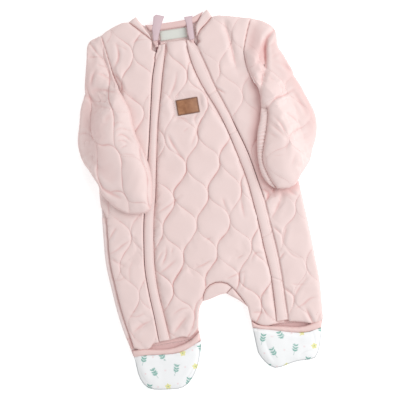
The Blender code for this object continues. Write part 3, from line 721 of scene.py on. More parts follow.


# Each cloth gives its colour, the painted shade colour of its creases, and the pale colour of its drift and
# its painted highlights on ridges.
SATIN_DRIFT_AND_HIGHLIGHT = (0.87, 0.75, 0.745)
SATIN = cloth_material(
    "quilted_satin", (0.84, 0.66, 0.635), (0.72, 0.40, 0.385), SATIN_DRIFT_AND_HIGHLIGHT, 0.48, 0.25, 700.0, 0.7
)
STRIP = cloth_material(
    "placket_satin", (0.85, 0.675, 0.65), (0.72, 0.42, 0.40), SATIN_DRIFT_AND_HIGHLIGHT, 0.48, 0.25, 700.0, 0.2
)
BINDING = cloth_material(
    "binding_pink", (0.84, 0.615, 0.59), (0.64, 0.34, 0.34), (0.87, 0.70, 0.67), 0.7, 0.2, 520.0, 0.8
)
# A copy of the binding cloth darkened with painted shade, for the inside of the neck and the pockets' ledges.
BINDING_SHADED = cloth_material(
    "binding_painted_shade", (0.80, 0.57, 0.55), (0.62, 0.35, 0.35), (0.82, 0.61, 0.60), 0.7, 0.2, 520.0, 0.8
)
RIBBON = cloth_material(
    "ribbon_mauve", (0.70, 0.53, 0.57), (0.50, 0.34, 0.39), (0.76, 0.61, 0.64), 0.6, 0.2, 450.0
)
TAPE = cloth_material(
    "zip_tape", (0.44, 0.25, 0.26), (0.30, 0.15, 0.17), (0.50, 0.30, 0.32), 0.75, 0.1, 420.0
)
LABEL = cloth_material(
    "label_white", (0.73, 0.74, 0.69), (0.52, 0.54, 0.48), (0.72, 0.80, 0.75), 0.6, 0.15, 900.0, bump=0.02
)
PRINTED = cloth_material(
    "printed_lining", (1.0, 1.0, 1.0), (0.56, 0.57, 0.58), (1.0, 1.0, 1.0), 0.75, 0.1, 620.0, bump=0.03,
    print_layer="print"
)
print("cloth materials:", [material.name for material in bpy.data.materials])

# %% [markdown]
# ## Leather, enamel, thread and teeth
#
# The leather has a pebbled grain and edges that are darker from cutting and wear. The edge is found
# from the piece's own box with Object coordinates. The sliders are enamelled metal with a clear
# coat. They, the thread and the zip teeth are small, so two close colours and a fine noise are
# enough for them.

# %% Leather, enamel, thread and teeth
LEATHER_DARK, LEATHER_TAN = (0.24, 0.095, 0.042), (0.45, 0.215, 0.112)
LEATHER_PALE, LEATHER_EDGE = (0.45, 0.25, 0.17, 1), (0.13, 0.06, 0.045, 1)
EDGE_START, EDGE_END = 2.4, 0.3


def leather_material():
    """Mottled tan leather, paler to the right and darker at its cut edges."""
    material, tree, shader = new_material("leather_tan")
    place = node_in(tree, "ShaderNodeTexCoord")["Object"]
    low, high = [np.array(corner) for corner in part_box("chest_patch")]
    shift = {"Vector": place, "Location": (-(low + high) / 2).tolist()}
    centred = node_in(tree, "ShaderNodeMapping", shift)["Vector"]
    axes = node_in(tree, "ShaderNodeSeparateXYZ", {"Vector": centred})
    near = []
    for axis, size in zip("XY", high - low):
        start, end = float(size / 2 - EDGE_START * MM), float(size / 2 - EDGE_END * MM)
        near.append(ranged(tree, calc(tree, "ABSOLUTE", axes[axis]), start, end))
    rubbed = calc(tree, "MULTIPLY", calc(tree, "MAXIMUM", *near), 0.8)
    mottle = noise(tree, place, 95.0, 5.0)
    browns = shades(tree, mottle, LEATHER_DARK, LEATHER_TAN, 0.32, 0.68)
    across = ranged(tree, axes["X"], -0.004, 0.018, 0.0, 0.55)
    grain = node_in(tree, "ShaderNodeTexVoronoi", {"Vector": place, "Scale": 1500.0})["Distance"]
    plug(tree, shader, {
        "Base Color": blended(tree, rubbed, blended(tree, across, browns, LEATHER_PALE), LEATHER_EDGE),
        "Roughness": ranged(tree, mottle, 0.0, 1.0, 0.5, 0.72),
        "Specular IOR Level": 0.4,
        "Normal": bumped(tree, grain, 0.5, 0.06),
    })
    return material


def small_material(name, colour, darker, roughness, scale, metallic=0.0, coat=0.0):
    """A fine-grained finish for small parts: two close colours and a slight bump."""
    material, tree, shader = new_material(name)
    speckle = noise(tree, node_in(tree, "ShaderNodeTexCoord")["Object"], scale, 3.0)
    plug(tree, shader, {
        "Base Color": shades(tree, speckle, darker, colour, 0.35, 0.65),
        "Metallic": metallic,
        "Roughness": ranged(tree, speckle, 0.0, 1.0, roughness, min(1.0, roughness + 0.12)),
        "Coat Weight": coat,
        "Normal": bumped(tree, speckle, 0.3, 0.03),
    })
    return material


LEATHER = leather_material()
ENAMEL = small_material("slider_enamel", (0.85, 0.62, 0.60), (0.80, 0.55, 0.54), 0.28, 900.0, 0.25, 0.4)
TEETH = small_material("zip_teeth", (0.42, 0.24, 0.25), (0.34, 0.18, 0.19), 0.4, 1500.0)
THREAD = small_material("thread_pink", (0.82, 0.60, 0.58), (0.74, 0.50, 0.49), 0.6, 2600.0)
QUILT_THREAD = small_material("thread_quilting", (0.76, 0.52, 0.51), (0.68, 0.43, 0.43), 0.6, 2600.0)
LEATHER_THREAD = small_material("thread_tan", (0.34, 0.18, 0.11), (0.26, 0.13, 0.08), 0.6, 2600.0)
print("small finishes:", LEATHER.name, ENAMEL.name, TEETH.name, THREAD.name)

# %% [markdown]
# ## Creases
#
# The romper has been packed and unpacked, so soft creases cross its pads. They are listed one by one,
# each as a short line of points with a width and a depth in millimetres. A crease is a trough with
# a low ridge on each side, and it fades out at both ends.

# %% Creases
# Rows with a fourth number also paint shade of that strength over the whole trough; rows with depth 0 are
# only painted shade, such as the shaded sides of the sleeves.
CREASES = {
    "front_side_left": [
        ([(-97, 293), (-95, 280), (-97, 268), (-107, 254)], 3.0, 1.8),
        ([(-97, 292), (-88, 286), (-81, 280)], 3.0, 0.8),
        ([(-113, 262), (-111, 246), (-107, 230), (-104, 214)], 5.0, 3.6),
        ([(-107, 246), (-101, 228)], 2.2, 1.2),
        ([(-71, 290), (-64, 294), (-46, 292)], 2.0, 0.9),
        ([(-149, -4), (-159, -16), (-167, -27)], 2.4, 1.3),
        ([(-128, -28), (-142, -33), (-154, -41), (-169, -45)], 3.0, 1.3),
        ([(-169, -51), (-154, -62), (-141, -72)], 2.6, 0.7),
        ([(-132, -62), (-138, -74), (-141, -86), (-140, -98)], 2.6, 0.6),
        ([(-148, -86), (-157, -90), (-167, -88)], 3.0, 0.9),
        ([(-167, 8), (-157, 15)], 1.8, 0.8),
        ([(-165, 1), (-154, 1)], 1.8, 0.6),
        ([(-132, -16), (-118, -30)], 2.0, 0.6),
        ([(-150, -178), (-134, -168), (-118, -164)], 4.0, 1.6),
        ([(-152, -150), (-140, -154), (-126, -150)], 2.4, 0.8),
    ],
    "front_centre": [
        ([(-7, 230), (-12, 214), (-21, 199), (-34, 186)], 2.6, 1.1),
        ([(7, 206), (18, 200), (42, 184)], 2.2, 0.6),
        ([(15, 158), (8, 150), (9, 140)], 2.4, 0.9),
        ([(17, 138), (8, 128), (-4, 108)], 3.4, 1.2),
        ([(-13, 132), (-4, 138)], 1.8, 0.6),
        ([(-39, 131), (-36, 121), (-33, 109)], 2.6, 0.8),
        ([(-21, 157), (-10, 155), (-2, 149)], 2.6, 0.9),
        ([(-36, 30), (-48, 22), (-65, 13), (-82, 8)], 2.8, 1.3),
        ([(-76, -32), (-90, -40)], 2.0, 0.9),
        ([(-78, -54), (-87, -64), (-95, -74)], 2.0, 1.0),
        ([(-73, -49), (-74, -60), (-84, -77)], 2.2, 1.2),
        ([(-62, -52), (-67, -62)], 1.8, 0.7),
        ([(-62, -73), (-77, -83), (-95, -92)], 2.8, 1.1),
        ([(39, -87), (50, -83)], 1.7, 0.9),
        ([(60, -96), (66, -86), (72, -82), (82, -87)], 2.6, 1.1),
        ([(47, -110), (35, -112), (17, -117)], 2.4, 1.2),
        ([(46, -112), (43, -130), (32, -142)], 2.6, 0.9),
        ([(47, -179), (56, -179), (67, -182)], 3.2, 1.5),
        ([(-38, 130), (-31, 108), (-21, 87)], 2.6, 1.1),
        ([(-9, -49), (3, -46)], 1.6, 0.7),
        ([(32, 14), (36, -8)], 2.4, 0.9),
        ([(62, 12), (61, -5), (62, -21)], 2.8, 1.0),
        ([(-31, -91), (-18, -88), (-3, -82)], 1.8, 1.3),
        ([(-70, -111), (-60, -93), (-46, -87)], 2.4, 1.0),
        ([(-84, -190), (-74, -180), (-60, -168)], 5.0, 2.2),
        ([(-80, -160), (-66, -152), (-52, -154)], 2.4, 0.9),
        ([(58, -160), (70, -150), (82, -152)], 2.2, 0.7),
    ],
    "front_side_right": [
        ([(50, 197), (56, 191), (64, 184)], 1.8, 1.8),
        ([(84, 296), (88, 262), (90, 222)], 4.0, 1.8),
        ([(120, -84), (129, -98), (140, -104)], 1.8, 0.7),
        ([(128, -50), (120, -64), (118, -77)], 3.0, 1.4),
        ([(107, -46), (117, -61)], 2.4, 1.0),
        ([(104, -103), (110, -97), (116, -91)], 2.2, 1.5),
        ([(101, -144), (112, -154), (119, -164)], 2.2, 1.4),
        ([(114, -142), (133, -147), (153, -149)], 1.6, 0.5),
        ([(147, -137), (131, -151), (120, -165), (118, -177)], 2.8, 1.2),
        ([(156, -172), (145, -171), (133, -180), (117, -184)], 2.6, 1.2),
        ([(136, -186), (141, -200), (145, -211)], 3.2, 2.2),
        ([(92, 20), (111, 12), (97, -9)], 2.8, 2.4),
        ([(112, 8), (124, 28)], 4.0, 1.6),
        ([(106, -32), (118, -16), (128, 2)], 4.0, 1.6),
        ([(140, 10), (152, -2)], 2.4, 1.0),
    ],
    "sleeve_right": [
        ([(163, 273), (146, 260), (141, 246), (140, 234), (137, 216)], 3.4, 3.8, 0.5),
        ([(152, 262), (138, 248), (135, 234), (132, 214)], 7.5, 1.8, 0.55),
        ([(146, 256), (142, 244), (140, 230), (138, 214)], 2.2, 2.6, 0.9),
        ([(140, 300), (132, 262), (130, 232), (136, 196)], 24.0, 0.0, 0.30),
        ([(158, 282), (166, 236), (184, 192), (203, 144), (206, 100), (190, 52)], 22.0, 0.0, 0.34),
        ([(137, 216), (129, 199), (124, 178)], 4.0, 2.0),
        ([(155, 222), (164, 216), (174, 205), (181, 195)], 2.6, 1.2),
        ([(149, 227), (163, 233)], 2.0, 0.9),
        ([(136, 132), (147, 116), (151, 93)], 2.4, 1.4),
        ([(130, 119), (142, 106), (149, 92)], 2.2, 1.3),
        ([(125, 106), (136, 96)], 2.0, 0.8),
        ([(157, 134), (168, 124), (176, 111)], 2.4, 1.2),
        ([(176, 170), (158, 162), (143, 160), (131, 149)], 1.8, 2.4),
        ([(191, 126), (183, 150), (175, 168)], 2.4, 1.4),
        ([(188, 110), (164, 103), (152, 93), (145, 66)], 3.4, 1.0),
        ([(122, 68), (141, 67)], 1.7, 0.8),
        ([(182, 190), (174, 200), (166, 236)], 4.0, 1.2),
        ([(160, 64), (150, 46)], 3.0, 0.7),
    ],
    "sleeve_left": [
        ([(-141, 303), (-136, 296), (-131, 284), (-125, 275)], 2.2, 1.5),
        ([(-133, 265), (-127, 262), (-121, 260)], 1.8, 1.0),
        ([(-136, 251), (-127, 247), (-116, 237)], 2.0, 1.2),
        ([(-139, 256), (-146, 244), (-149, 233)], 2.4, 1.6),
        ([(-145, 225), (-128, 222), (-122, 218), (-108, 213)], 3.4, 1.5),
        ([(-125, 277), (-121, 264), (-118, 252), (-115, 238)], 3.0, 1.6),
        ([(-122, 162), (-114, 166), (-105, 159)], 1.6, 1.0),
        ([(-124, 151), (-112, 156), (-99, 148)], 1.7, 1.1),
        ([(-122, 142), (-111, 146), (-98, 129)], 1.7, 1.2),
        ([(-124, 134), (-114, 136), (-104, 128)], 1.6, 0.9),
        ([(-119, 122), (-107, 126)], 1.6, 0.9),
        ([(-167, 221), (-154, 214), (-147, 198)], 3.0, 1.8, 0.25),
        ([(-140, 300), (-154, 230), (-160, 150), (-150, 60)], 26.0, 0.0, 0.26),
        ([(-148, 199), (-131, 192), (-114, 185)], 3.4, 1.2, 0.12),
        ([(-137, 168), (-128, 176), (-121, 186)], 7.0, 1.4, 0.2),
        ([(-165, 76), (-156, 62), (-146, 52), (-130, 42)], 3.4, 1.6, 0.3),
        ([(-119, 113), (-108, 111), (-96, 107)], 1.8, 0.9),
    ],
    "foot_pocket_left": [
        ([(-62, -250), (-70, -262), (-82, -270)], 3.0, 0.8),
        ([(-150, -240), (-146, -256), (-136, -268)], 3.4, 0.7),
    ],
    "foot_pocket_right": [
        ([(112, -262), (122, -256), (136, -256)], 3.0, 0.5),
        ([(140, -228), (142, -240), (138, -252)], 2.4, 0.5),
        ([(62, -226), (64, -244), (70, -262)], 3.4, 0.7),
    ],
}


def cut_corners(points, rounds=2):
    """A line whose corners are cut off a few times over, so that it bends softly."""
    line = np.array(points, float)
    for _ in range(rounds):
        start, end = line[:-1], line[1:]
        cut = np.empty((2 * len(start), 2))
        cut[0::2] = 0.75 * start + 0.25 * end
        cut[1::2] = 0.25 * start + 0.75 * end
        line = np.vstack([line[:1], cut[1:-1], line[-1:]])
    return line


def line_reach(places, line):
    """How far places are from a line, and at what share of its length they are nearest."""
    steps = np.diff(line, axis=0)
    lengths = np.linalg.norm(steps, axis=1)
    before = np.concatenate([[0], np.cumsum(lengths)])
    best, share = np.full(len(places), np.inf), np.zeros(len(places))
    for k, step in enumerate(steps):
        along = np.clip((places - line[k]) @ step / max(lengths[k] ** 2, 1e-9), 0, 1)
        away = np.linalg.norm(places - line[k] - along[:, None] * step, axis=1)
        closer = away < best
        best = np.where(closer, away, best)
        share = np.where(closer, (before[k] + along * lengths[k]) / before[-1], share)
    return best, share


CREASE_START, CREASE_RUN, CREASE_FADE = 0.08, 0.84, 0.8
RIDGE_PLACE, RIDGE_SHARE = 2.3, 0.28
FOLD_MARK_SHARE, FOLD_MARK_WIDTH, FOLD_MARK = 0.55, 1.5, 0.7


def crease_heights(places, rows):
    """What the creases do to the cloth at places, in mm, and how much painted shade each place gets, from 0
    to 1.
    """
    height, marks = np.zeros(len(places)), np.zeros(len(places))
    for points, width, depth, *painted_shade in rows:
        away, share = line_reach(places, cut_corners(points))
        run = np.clip(CREASE_START + CREASE_RUN * share, 0, 1)
        fade = np.sin(math.pi * run) ** CREASE_FADE
        trough = bell(away, width)
        ridge = bell(away - RIDGE_PLACE * width, width)
        height += depth * fade * (RIDGE_SHARE * ridge - trough)
        # Painted shade along the bottom of each fold.
        narrow = bell(away, min(FOLD_MARK_SHARE * width, FOLD_MARK_WIDTH))
        marks = np.maximum(marks, fade * narrow * min(FOLD_MARK, 0.08 + 0.16 * depth))
        # A fourth number paints shade over the whole width of the trough.
        if painted_shade:
            marks = np.maximum(marks, painted_shade[0] * fade * trough)
    return height, marks


print("creases:", sum(len(rows) for rows in CREASES.values()))

# %% [markdown]
# ## The quilted panels
#
# One function makes every quilted panel. It copies the solid and divides its upper side twice. It
# then takes the solid's coarse pads away and puts finer ones in their place: a narrow dip at the
# thread, a wide soft dip round it, and a nearly flat pad. The lines of one direction are pulled
# tighter than the others, and no line is equally deep all along, because thread tension and wadding
# vary. Cloth simulation then lets the padding swell a little between the pinned lines. The mesh is
# divided once more, and the creases and the small puckers beside the thread are pressed into it.

# %% Pads and threads
PAD_RISE = 5.6
NARROW_DIP, NARROW_WIDTH = 1.5, 1.6
WIDE_DIP, WIDE_WIDTH = 1.9, 8.0
TIGHTNESS = {"u": 1.0, "v": 0.55}
MARK_WIDTH, MARK_SHARE, MARK_MOST = 1.05, 0.42, 0.8
NET_DRIFT = 2.4
DRIFT_SIZES = ((58, 1.0), (21, 0.45), (7.5, 0.2))
SOLID_EDGE = 8.0
PUCKER_HEIGHT, PUCKER_LENGTH, PUCKER_REACH = 0.45, 6.0, 4.5


def dome(u, v):
    return np.abs(np.sin(math.pi * u) * np.sin(math.pi * v))


def tightness(places, seed):
    """How tight the u lines and the v lines are pulled at each place, from 0 to about 1.2."""
    pulls = []
    for k, family in enumerate(("u", "v")):
        uneven = 1 + 0.70 * rumple(places, 46, seed + k) + 0.40 * rumple(places, 17, seed + 5 + k)
        pulls.append(np.clip(TIGHTNESS[family] * uneven, 0.10, 1.25))
    return pulls


def pads(net, u, v, places, relief, seed):
    """How high the padding stands over the solid's sewn lines, in mm, and how much painted shade a line gets.
    """
    dips, marks = [], []
    for away, tight in zip(line_distance(net, u, v), tightness(places, seed)):
        narrow = NARROW_DIP * np.exp(-np.abs(away) / NARROW_WIDTH)
        wide = WIDE_DIP * np.exp(-np.abs(away) / WIDE_WIDTH)
        dips.append(tight * (narrow + wide))
        # The marks are painted shade in the sewn lines.
        marks.append(tight * bell(away, MARK_WIDTH))
    dip = (dips[0] ** 3 + dips[1] ** 3) ** (1 / 3)
    # The painted shade of the lines varies at random along them.
    drift_and_painted_light = 0.8 + 0.7 * rumple(places, 9, seed + 40)
    return PAD_RISE - relief * dip, relief * np.clip(MARK_SHARE * drift_and_painted_light * np.maximum(*marks), 0, MARK_MOST)


def puckers(net, u, v, places, seed):
    """Ripples beside the sewn lines, in mm: none on the line, most a few mm from it, fading into the pad."""
    leaf = np.linalg.norm(np.array(net["right"]) + np.array(net["left"]))
    total = np.zeros(len(u))
    for own, other, away, family in zip((u, v), (v, u), line_distance(net, u, v), (0, 1)):
        share = np.abs(away) / PUCKER_REACH
        run = np.column_stack([other * leaf / 2, 40 * np.round(own) + 13 * np.sign(away) + 7 * family])
        patchy = np.clip(0.35 + rumple(places, 31, seed + 9 + family), 0, 1)
        total += patchy * share * np.exp(1 - share) * rumple(run, PUCKER_LENGTH, seed + family)
    return PUCKER_HEIGHT * total


def read_layers(bm, *names):
    """Named numbers of each vertex as arrays."""
    layers = [bm.verts.layers.float[name] for name in names]
    return [np.array([vert[layer] for vert in bm.verts]) for layer in layers]


def write_layer(bm, name, values):
    layer = bm.verts.layers.float.get(name) or bm.verts.layers.float.new(name)
    for vert, value in zip(bm.verts, values):
        vert[layer] = value


print("pad height mid-leaf:", PAD_RISE, "mm")

# %% [markdown]
# ## Room for the pads
#
# The padding needs room. A panel is thin where it is sewn to its neighbour, where a strip lies on
# it and under the leather patch, so the pads fade out there. The net of a real panel also drifts,
# because the cloth stretches under the needle. A smooth random shift of the net, a few millimetres
# at most, makes no two leaves alike.

# %% Room for the pads
STRIP_ROOM, STRIP_FADE = 1.0, 9
PATCH_ROOM, PATCH_FADE = 2, 12
PATCH = box_of("chest_patch")
PLACKETS = {}
for side in ("left", "right"):
    solid = merged_copy("placket_" + side)
    PLACKETS[side] = plan_tree(rim_spots(solid)), BVHTree.FromBMesh(solid)
    solid.free()


def pad_share(node, places, rim):
    """The share of full padding at each place: none at the panel's edge, by a strip and under the patch."""
    share = rounded(plan_distance(places, rim) / SOLID_EDGE)
    if node == "front_centre":
        for tree, cover in PLACKETS.values():
            under = np.array([covers(cover, x, y) for x, y in places[:, :2]])
            beside = np.where(under, 0, plan_distance(places, tree) - STRIP_ROOM)
            share *= rounded(beside / STRIP_FADE)
        middle, reach = (PATCH[0] + PATCH[1])[:2] / 2, (PATCH[1] - PATCH[0])[:2] / 2
        beyond = np.linalg.norm(np.maximum(np.abs(places[:, :2] - middle) - reach, 0), axis=1)
        share *= eased((beyond - PATCH_ROOM) / PATCH_FADE)
    return share


def drift(places, seed):
    """How far the net has moved on the cloth, in mm: the leaves of real quilting aren't all alike."""
    total = 0
    for k, (size, share) in enumerate(DRIFT_SIZES):
        draws = seed + 20 + 2 * k, seed + 21 + 2 * k
        total = total + share * np.column_stack([rumple(places, size, draw) for draw in draws])
    return NET_DRIFT * total


def sewn_lines(u, v):
    return (np.abs(u - np.round(u)) < 0.001) | (np.abs(v - np.round(v)) < 0.001)


print("patch in mm:", np.round(PATCH, 1).tolist())

# %% [markdown]
# ## Where the cloth is pulled to
#
# Some places of a panel aren't like a flat pattern piece. The upper ends of the sleeves sink to
# meet the shoulders, the sleeves are round tubes with an arm's worth of wadding, and the ends of
# the legs are tucked into the foot pockets. These are changes to whole regions, so each is a
# function of where a point is, with a soft start and end.

# %% Larger shapes
SLEEVE_HALF = 40.0
SLEEVE_BULGES = {"sleeve_left": (-1.5, 8.5), "sleeve_right": (8.0, 5.5)}
SHOULDER_SINK, SHOULDER_REACH = 4.0, 34.0
SHOULDER_START, SHOULDER_FADE, SHOULDER_LEVEL = 14, 24, 8
SEAM_LEVEL, SEAM_RISE = 15.0, 3.4
RISE_REACH, FALL_REACH = 4, 9
ARMHOLES = {
    "sleeve_left": [(-119, 311), (-114, 275), (-111, 245), (-105, 217)],
    "sleeve_right": [(127, 298), (116, 273), (108, 249), (107, 229), (109, 212), (117, 188)],
}
SINK_FROM = {"sleeve_left": 226, "sleeve_right": 184}
HEM_TOP, HEM_FADE, LEG_MARGIN = -176, 26, 10
HEM_DROPS = {
    "left": [(-158, 9), (-141, 6), (-128, 9), (-121, 2), (-112, 0), (-72, 0), (-62, 6), (-43, 7)],
    "right": [(43, 7), (55, 8), (71, 5), (82, 2), (90, 1), (125, 1), (136, 4), (146, 8), (160, 7)],
}


def sink_shoulder(node, places):
    """Lowers a sleeve's upper end towards the shoulder, and brings its edge level with the body's."""
    away, _ = line_reach(places[:, :2], np.array(ARMHOLES[node], float))
    share = eased((SHOULDER_REACH - away) / SHOULDER_REACH)
    share = share * eased((places[:, 1] - SINK_FROM[node]) / SHOULDER_FADE)
    gap = SEAM_LEVEL - places[:, 2]
    rise = np.minimum(gap, SEAM_RISE) * np.exp(-away / RISE_REACH)
    level = np.where(gap > 0, rise, gap * np.exp(-away / FALL_REACH))
    move = level - SHOULDER_SINK * eased(away / SHOULDER_START)
    places[:, 2] += move * share * eased(places[:, 2] / SHOULDER_LEVEL)
    return places


def sleeve_bulge(node, places):
    """How far an arm's wadding lifts a sleeve at each place, from its left side to its right one."""
    low, high = box_of(node)
    levels = np.linspace(low[1] + 3, high[1] - 3, 40)
    left, right = edges_at(places[:, 1], levels, row_spans(node, levels))
    across = eased((places[:, 0] - left) / np.maximum(right - left, 1) / 0.8)
    start, end = SLEEVE_BULGES[node]
    return start + (end - start) * across


def drop_hem(places):
    """Pulls the ends of the legs down to the foot bindings."""
    for drops in HEM_DROPS.values():
        x, drop = cut_corners(drops, 3).T
        in_leg = (places[:, 0] > x[0] - LEG_MARGIN) & (places[:, 0] < x[-1] + LEG_MARGIN)
        fall = np.interp(places[:, 0], x, drop) * eased((HEM_TOP - places[:, 1]) / HEM_FADE)
        places[:, 1] -= np.where(in_leg, fall, 0)
    return places


ZIP_LEVELS = np.linspace(250, 282, 17)
ZIP_PULL, ZIP_REACH = 6, 16
PULL_START, PULL_END = (257, 14), (268, 7)


def close_zip(node, places):
    """Draws a side front's edge in to its zip, up to just below the slider."""
    side = node[len("front_side_"):]
    y = places[:, 1]
    edge = edges_at(y, ZIP_LEVELS, row_spans(node, ZIP_LEVELS))[1 if side == "left" else 0]
    starting, ending = [eased((y - level) / fade) for level, fade in (PULL_START, PULL_END)]
    shift = ZIP_PULL * (starting - ending)
    places[:, 0] += -OUTWARD[side] * shift * eased(1 - np.abs(places[:, 0] - edge) / ZIP_REACH)
    return places


ARMHOLE_GAP, ARMHOLE_REACH = 0.6, 4
ARMHOLE_SLITS = {"left": (228, 9, 0.2), "right": (197, 9, 0.3)}


def close_armhole(node, places):
    """Draws a side front's edge out to its sleeve, and most where a slit would show the floor."""
    side = node[len("front_side_"):]
    away, _ = line_reach(places[:, :2], np.array(ARMHOLES["sleeve_" + side], float))
    level, reach, wider = ARMHOLE_SLITS[side]
    gap = ARMHOLE_GAP + wider * bell(places[:, 1] - level, reach)
    places[:, 0] += OUTWARD[side] * gap * bell(away, ARMHOLE_REACH)
    return places


def settle(node, places):
    """Makes the large changes that a panel needs."""
    if node in ARMHOLES:
        return sink_shoulder(node, places)
    if node.startswith("front_side"):
        places = close_armhole(node, close_zip(node, places))
    return drop_hem(places)


CENTRE_LIFT, SLEEVE_LIFT = 2.2, 1.2
SIDE_LIFT, STRIP_LIFT, ARMHOLE_LIFT = 1.4, 1.4, 0.8


def rim_lift(node, places):
    """How far a panel's edge stands up to meet its neighbour at a seam, in mm."""
    if node == "front_centre":
        return np.full(len(places), CENTRE_LIFT)
    if node in ARMHOLES:
        return np.full(len(places), SLEEVE_LIFT)
    side = node[len("front_side_"):]
    by_strip = eased((10 - plan_distance(places, PLACKETS[side][0])) / 5)
    armhole, _ = line_reach(places[:, :2], np.array(ARMHOLES["sleeve_" + side], float))
    return SIDE_LIFT + STRIP_LIFT * by_strip + ARMHOLE_LIFT * eased((14 - armhole) / 8) * (1 - by_strip)


# Painted shade on the body next to the sleeves, strongest beside the right sleeve and its hand band.
SLEEVE_SHADE_REACH, SLEEVE_SHADE_TOP, SLEEVE_SHADE_FADE = 13.0, 230, 50
SLEEVE_SHADE_TINTS = {"sleeve_left": 0.16, "sleeve_right": 0.54, "hand_band_right": 0.60}
SLEEVE_SHADE_TREES = [(rim_tree(node), strength) for node, strength in SLEEVE_SHADE_TINTS.items()]


def painted_sleeve_shade(places):
    """Painted shade on the body's cloth where it lies close beside a sleeve or the hand band."""
    tint = np.zeros(len(places))
    for tree, strength in SLEEVE_SHADE_TREES:
        near = bell(plan_distance(places, tree), SLEEVE_SHADE_REACH)
        tint = np.maximum(tint, strength * near)
    return tint * eased((SLEEVE_SHADE_TOP - places[:, 1]) / SLEEVE_SHADE_FADE)


print("armholes:", {node: len(line) for node, line in ARMHOLES.items()})

# %% [markdown]
# ## Making the panels
#
# The five quilted pieces differ only in their net, their seed and how strongly the lines are pulled
# in, so a table holds those numbers and one function makes them all. The heights of the solid's
# upper side are smoothed first, so that only the large shape stays and the new pads stand on it. A
# low ceiling keeps the body's pads in the space of their solid.

# %% Quilted panels
BODY_CEILING = 16.35
SEAM_MARK, SEAM_MARK_WIDTH = 0.34, 1.7
SLEEVE_EDGE, SLEEVE_EDGE_WIDTH = 0.24, 6.0
ON_LINE = 0.004
INNER_REACH, FIXED_RIM, FIXED_SHARE = 10, 2.5, 0.05
PINNED_BELOW = 0.3
LIFT_REACH, LIFT_POWER = 6, 1.5
WAVE_HEIGHT, WAVE_SIZE = 0.35, 26


def even_base(bm, base, top, fixed, rounds):
    """Smooths the heights of the upper side, apart from fixed vertices."""
    edges = np.array([[vert.index for vert in edge.verts] for edge in bm.edges])
    edges = edges[top[edges].all(1)]
    flat = np.column_stack([base, base, base])
    free = (top & ~fixed)[:, None]
    for _ in range(rounds):
        flat = np.where(free, smoothed(flat, edges, 1), flat)
    return flat[:, 0]


def quilted_panel(node, net, seed, puff, relief, even, calm):
    """A padded, quilted copy of one solid."""
    bm = merged_copy(node)
    places = places_in(bm)
    rim = plan_tree(rim_spots(bm))
    u, v = [np.where(np.abs(t - np.round(t)) < ON_LINE, np.round(t), t) for t in in_net(net, places[:, :2])]
    write_layer(bm, "u", u)
    write_layer(bm, "v", v)
    write_layer(bm, "solid_pad", puff * pad_share(node, places, rim) * np.sqrt(dome(u, v)))
    refine(bm, 2)

    top = flags(bm, upper_verts(bm))
    u, v, solid_pad = read_layers(bm, "u", "v", "solid_pad")
    places = places_in(bm)
    edge_away = plan_distance(places, rim)
    share = np.where(top, pad_share(node, places, rim), 0)
    inner = np.where(top, eased(edge_away / INNER_REACH) * eased(share * 1.4), 0)
    fixed = (edge_away < FIXED_RIM) | (share < FIXED_SHARE)
    base = even_base(bm, places[:, 2] - np.where(top, solid_pad, 0), top, fixed, even)
    spot = on_cloth(net, u, v)
    places[:, :2] += inner[:, None] * (spot + drift(spot, seed) - places[:, :2])
    height, _ = pads(net, u, v, places[:, :2], relief, seed)
    places[:, 2] = base + share * height
    lift = rim_lift(node, places) * np.clip(1 - edge_away / LIFT_REACH, 0, 1) ** LIFT_POWER
    places[:, 2] += np.where(top, lift, 0)
    if node in ARMHOLES:
        round_off = 1 - (1 - np.clip(edge_away / SLEEVE_HALF, 0, 1)) ** 2
        places[:, 2] += np.where(top, sleeve_bulge(node, places) * round_off, 0)
    place_all(bm, places)
    write_layer(bm, "share", share)
    piece = add_piece("soft_" + node, mesh_from(bm, node), SATIN, "quilted_satin", node)
    swell(piece, ~top | sewn_lines(u, v) | (inner < PINNED_BELOW))

    bm = bmesh.new()
    bm.from_mesh(piece.data)
    refine(bm, 1)
    u, v, share = read_layers(bm, "u", "v", "share")
    sewn = sewn_lines(u, v)
    loose = [vert for vert in loose_points(bm) if not sewn[vert.index]]
    soften(bm, loose, 2)
    places = places_in(bm)
    free, seen = flags(bm, loose_points(bm)), flags(bm, upper_verts(bm))
    _, marks = pads(net, u, v, places[:, :2], relief, seed)
    marks = marks * eased(share * 1.6)
    folds, fold_marks = crease_heights(places[:, :2], CREASES.get(node, ()))
    small = puckers(net, u, v, places[:, :2], seed)
    small = small + WAVE_HEIGHT * rumple(places[:, :2], WAVE_SIZE, seed + 30)
    places[:, 2] += np.where(free, folds + small * eased(share), 0)
    edge_away = plan_distance(places, rim)
    # Painted shade along the panel's seams.
    seam_marks = SEAM_MARK * bell(edge_away, SEAM_MARK_WIDTH)
    if node in ARMHOLES:
        # Painted shade round a sleeve's rounded edge, where the cloth turns away from the light.
        round_marks = SLEEVE_EDGE * bell(edge_away, SLEEVE_EDGE_WIDTH)
        seam_marks = np.maximum(0.6 * seam_marks, round_marks)
    else:
        # The body beside the sleeves gets painted shade.
        fold_marks = np.maximum(fold_marks, painted_sleeve_shade(places))
        places[:, 2] = np.minimum(places[:, 2], BODY_CEILING)
    places = settle(node, places)
    bm.to_mesh(piece.data)
    bm.free()
    if calm:
        places = np.where(free[:, None], smoothed(places, edges_of(piece.data), calm, 0.4), places)
    move_to(piece.data, places * MM)
    fill_seams(piece.data)
    piece.data.shade_smooth()
    mark_hollows(piece.data, np.where(seen, np.maximum.reduce([marks, fold_marks, seam_marks]), 0))
    print(node, len(piece.data.polygons), "faces, top at", round(places[:, 2].max(), 1), "mm")
    return piece


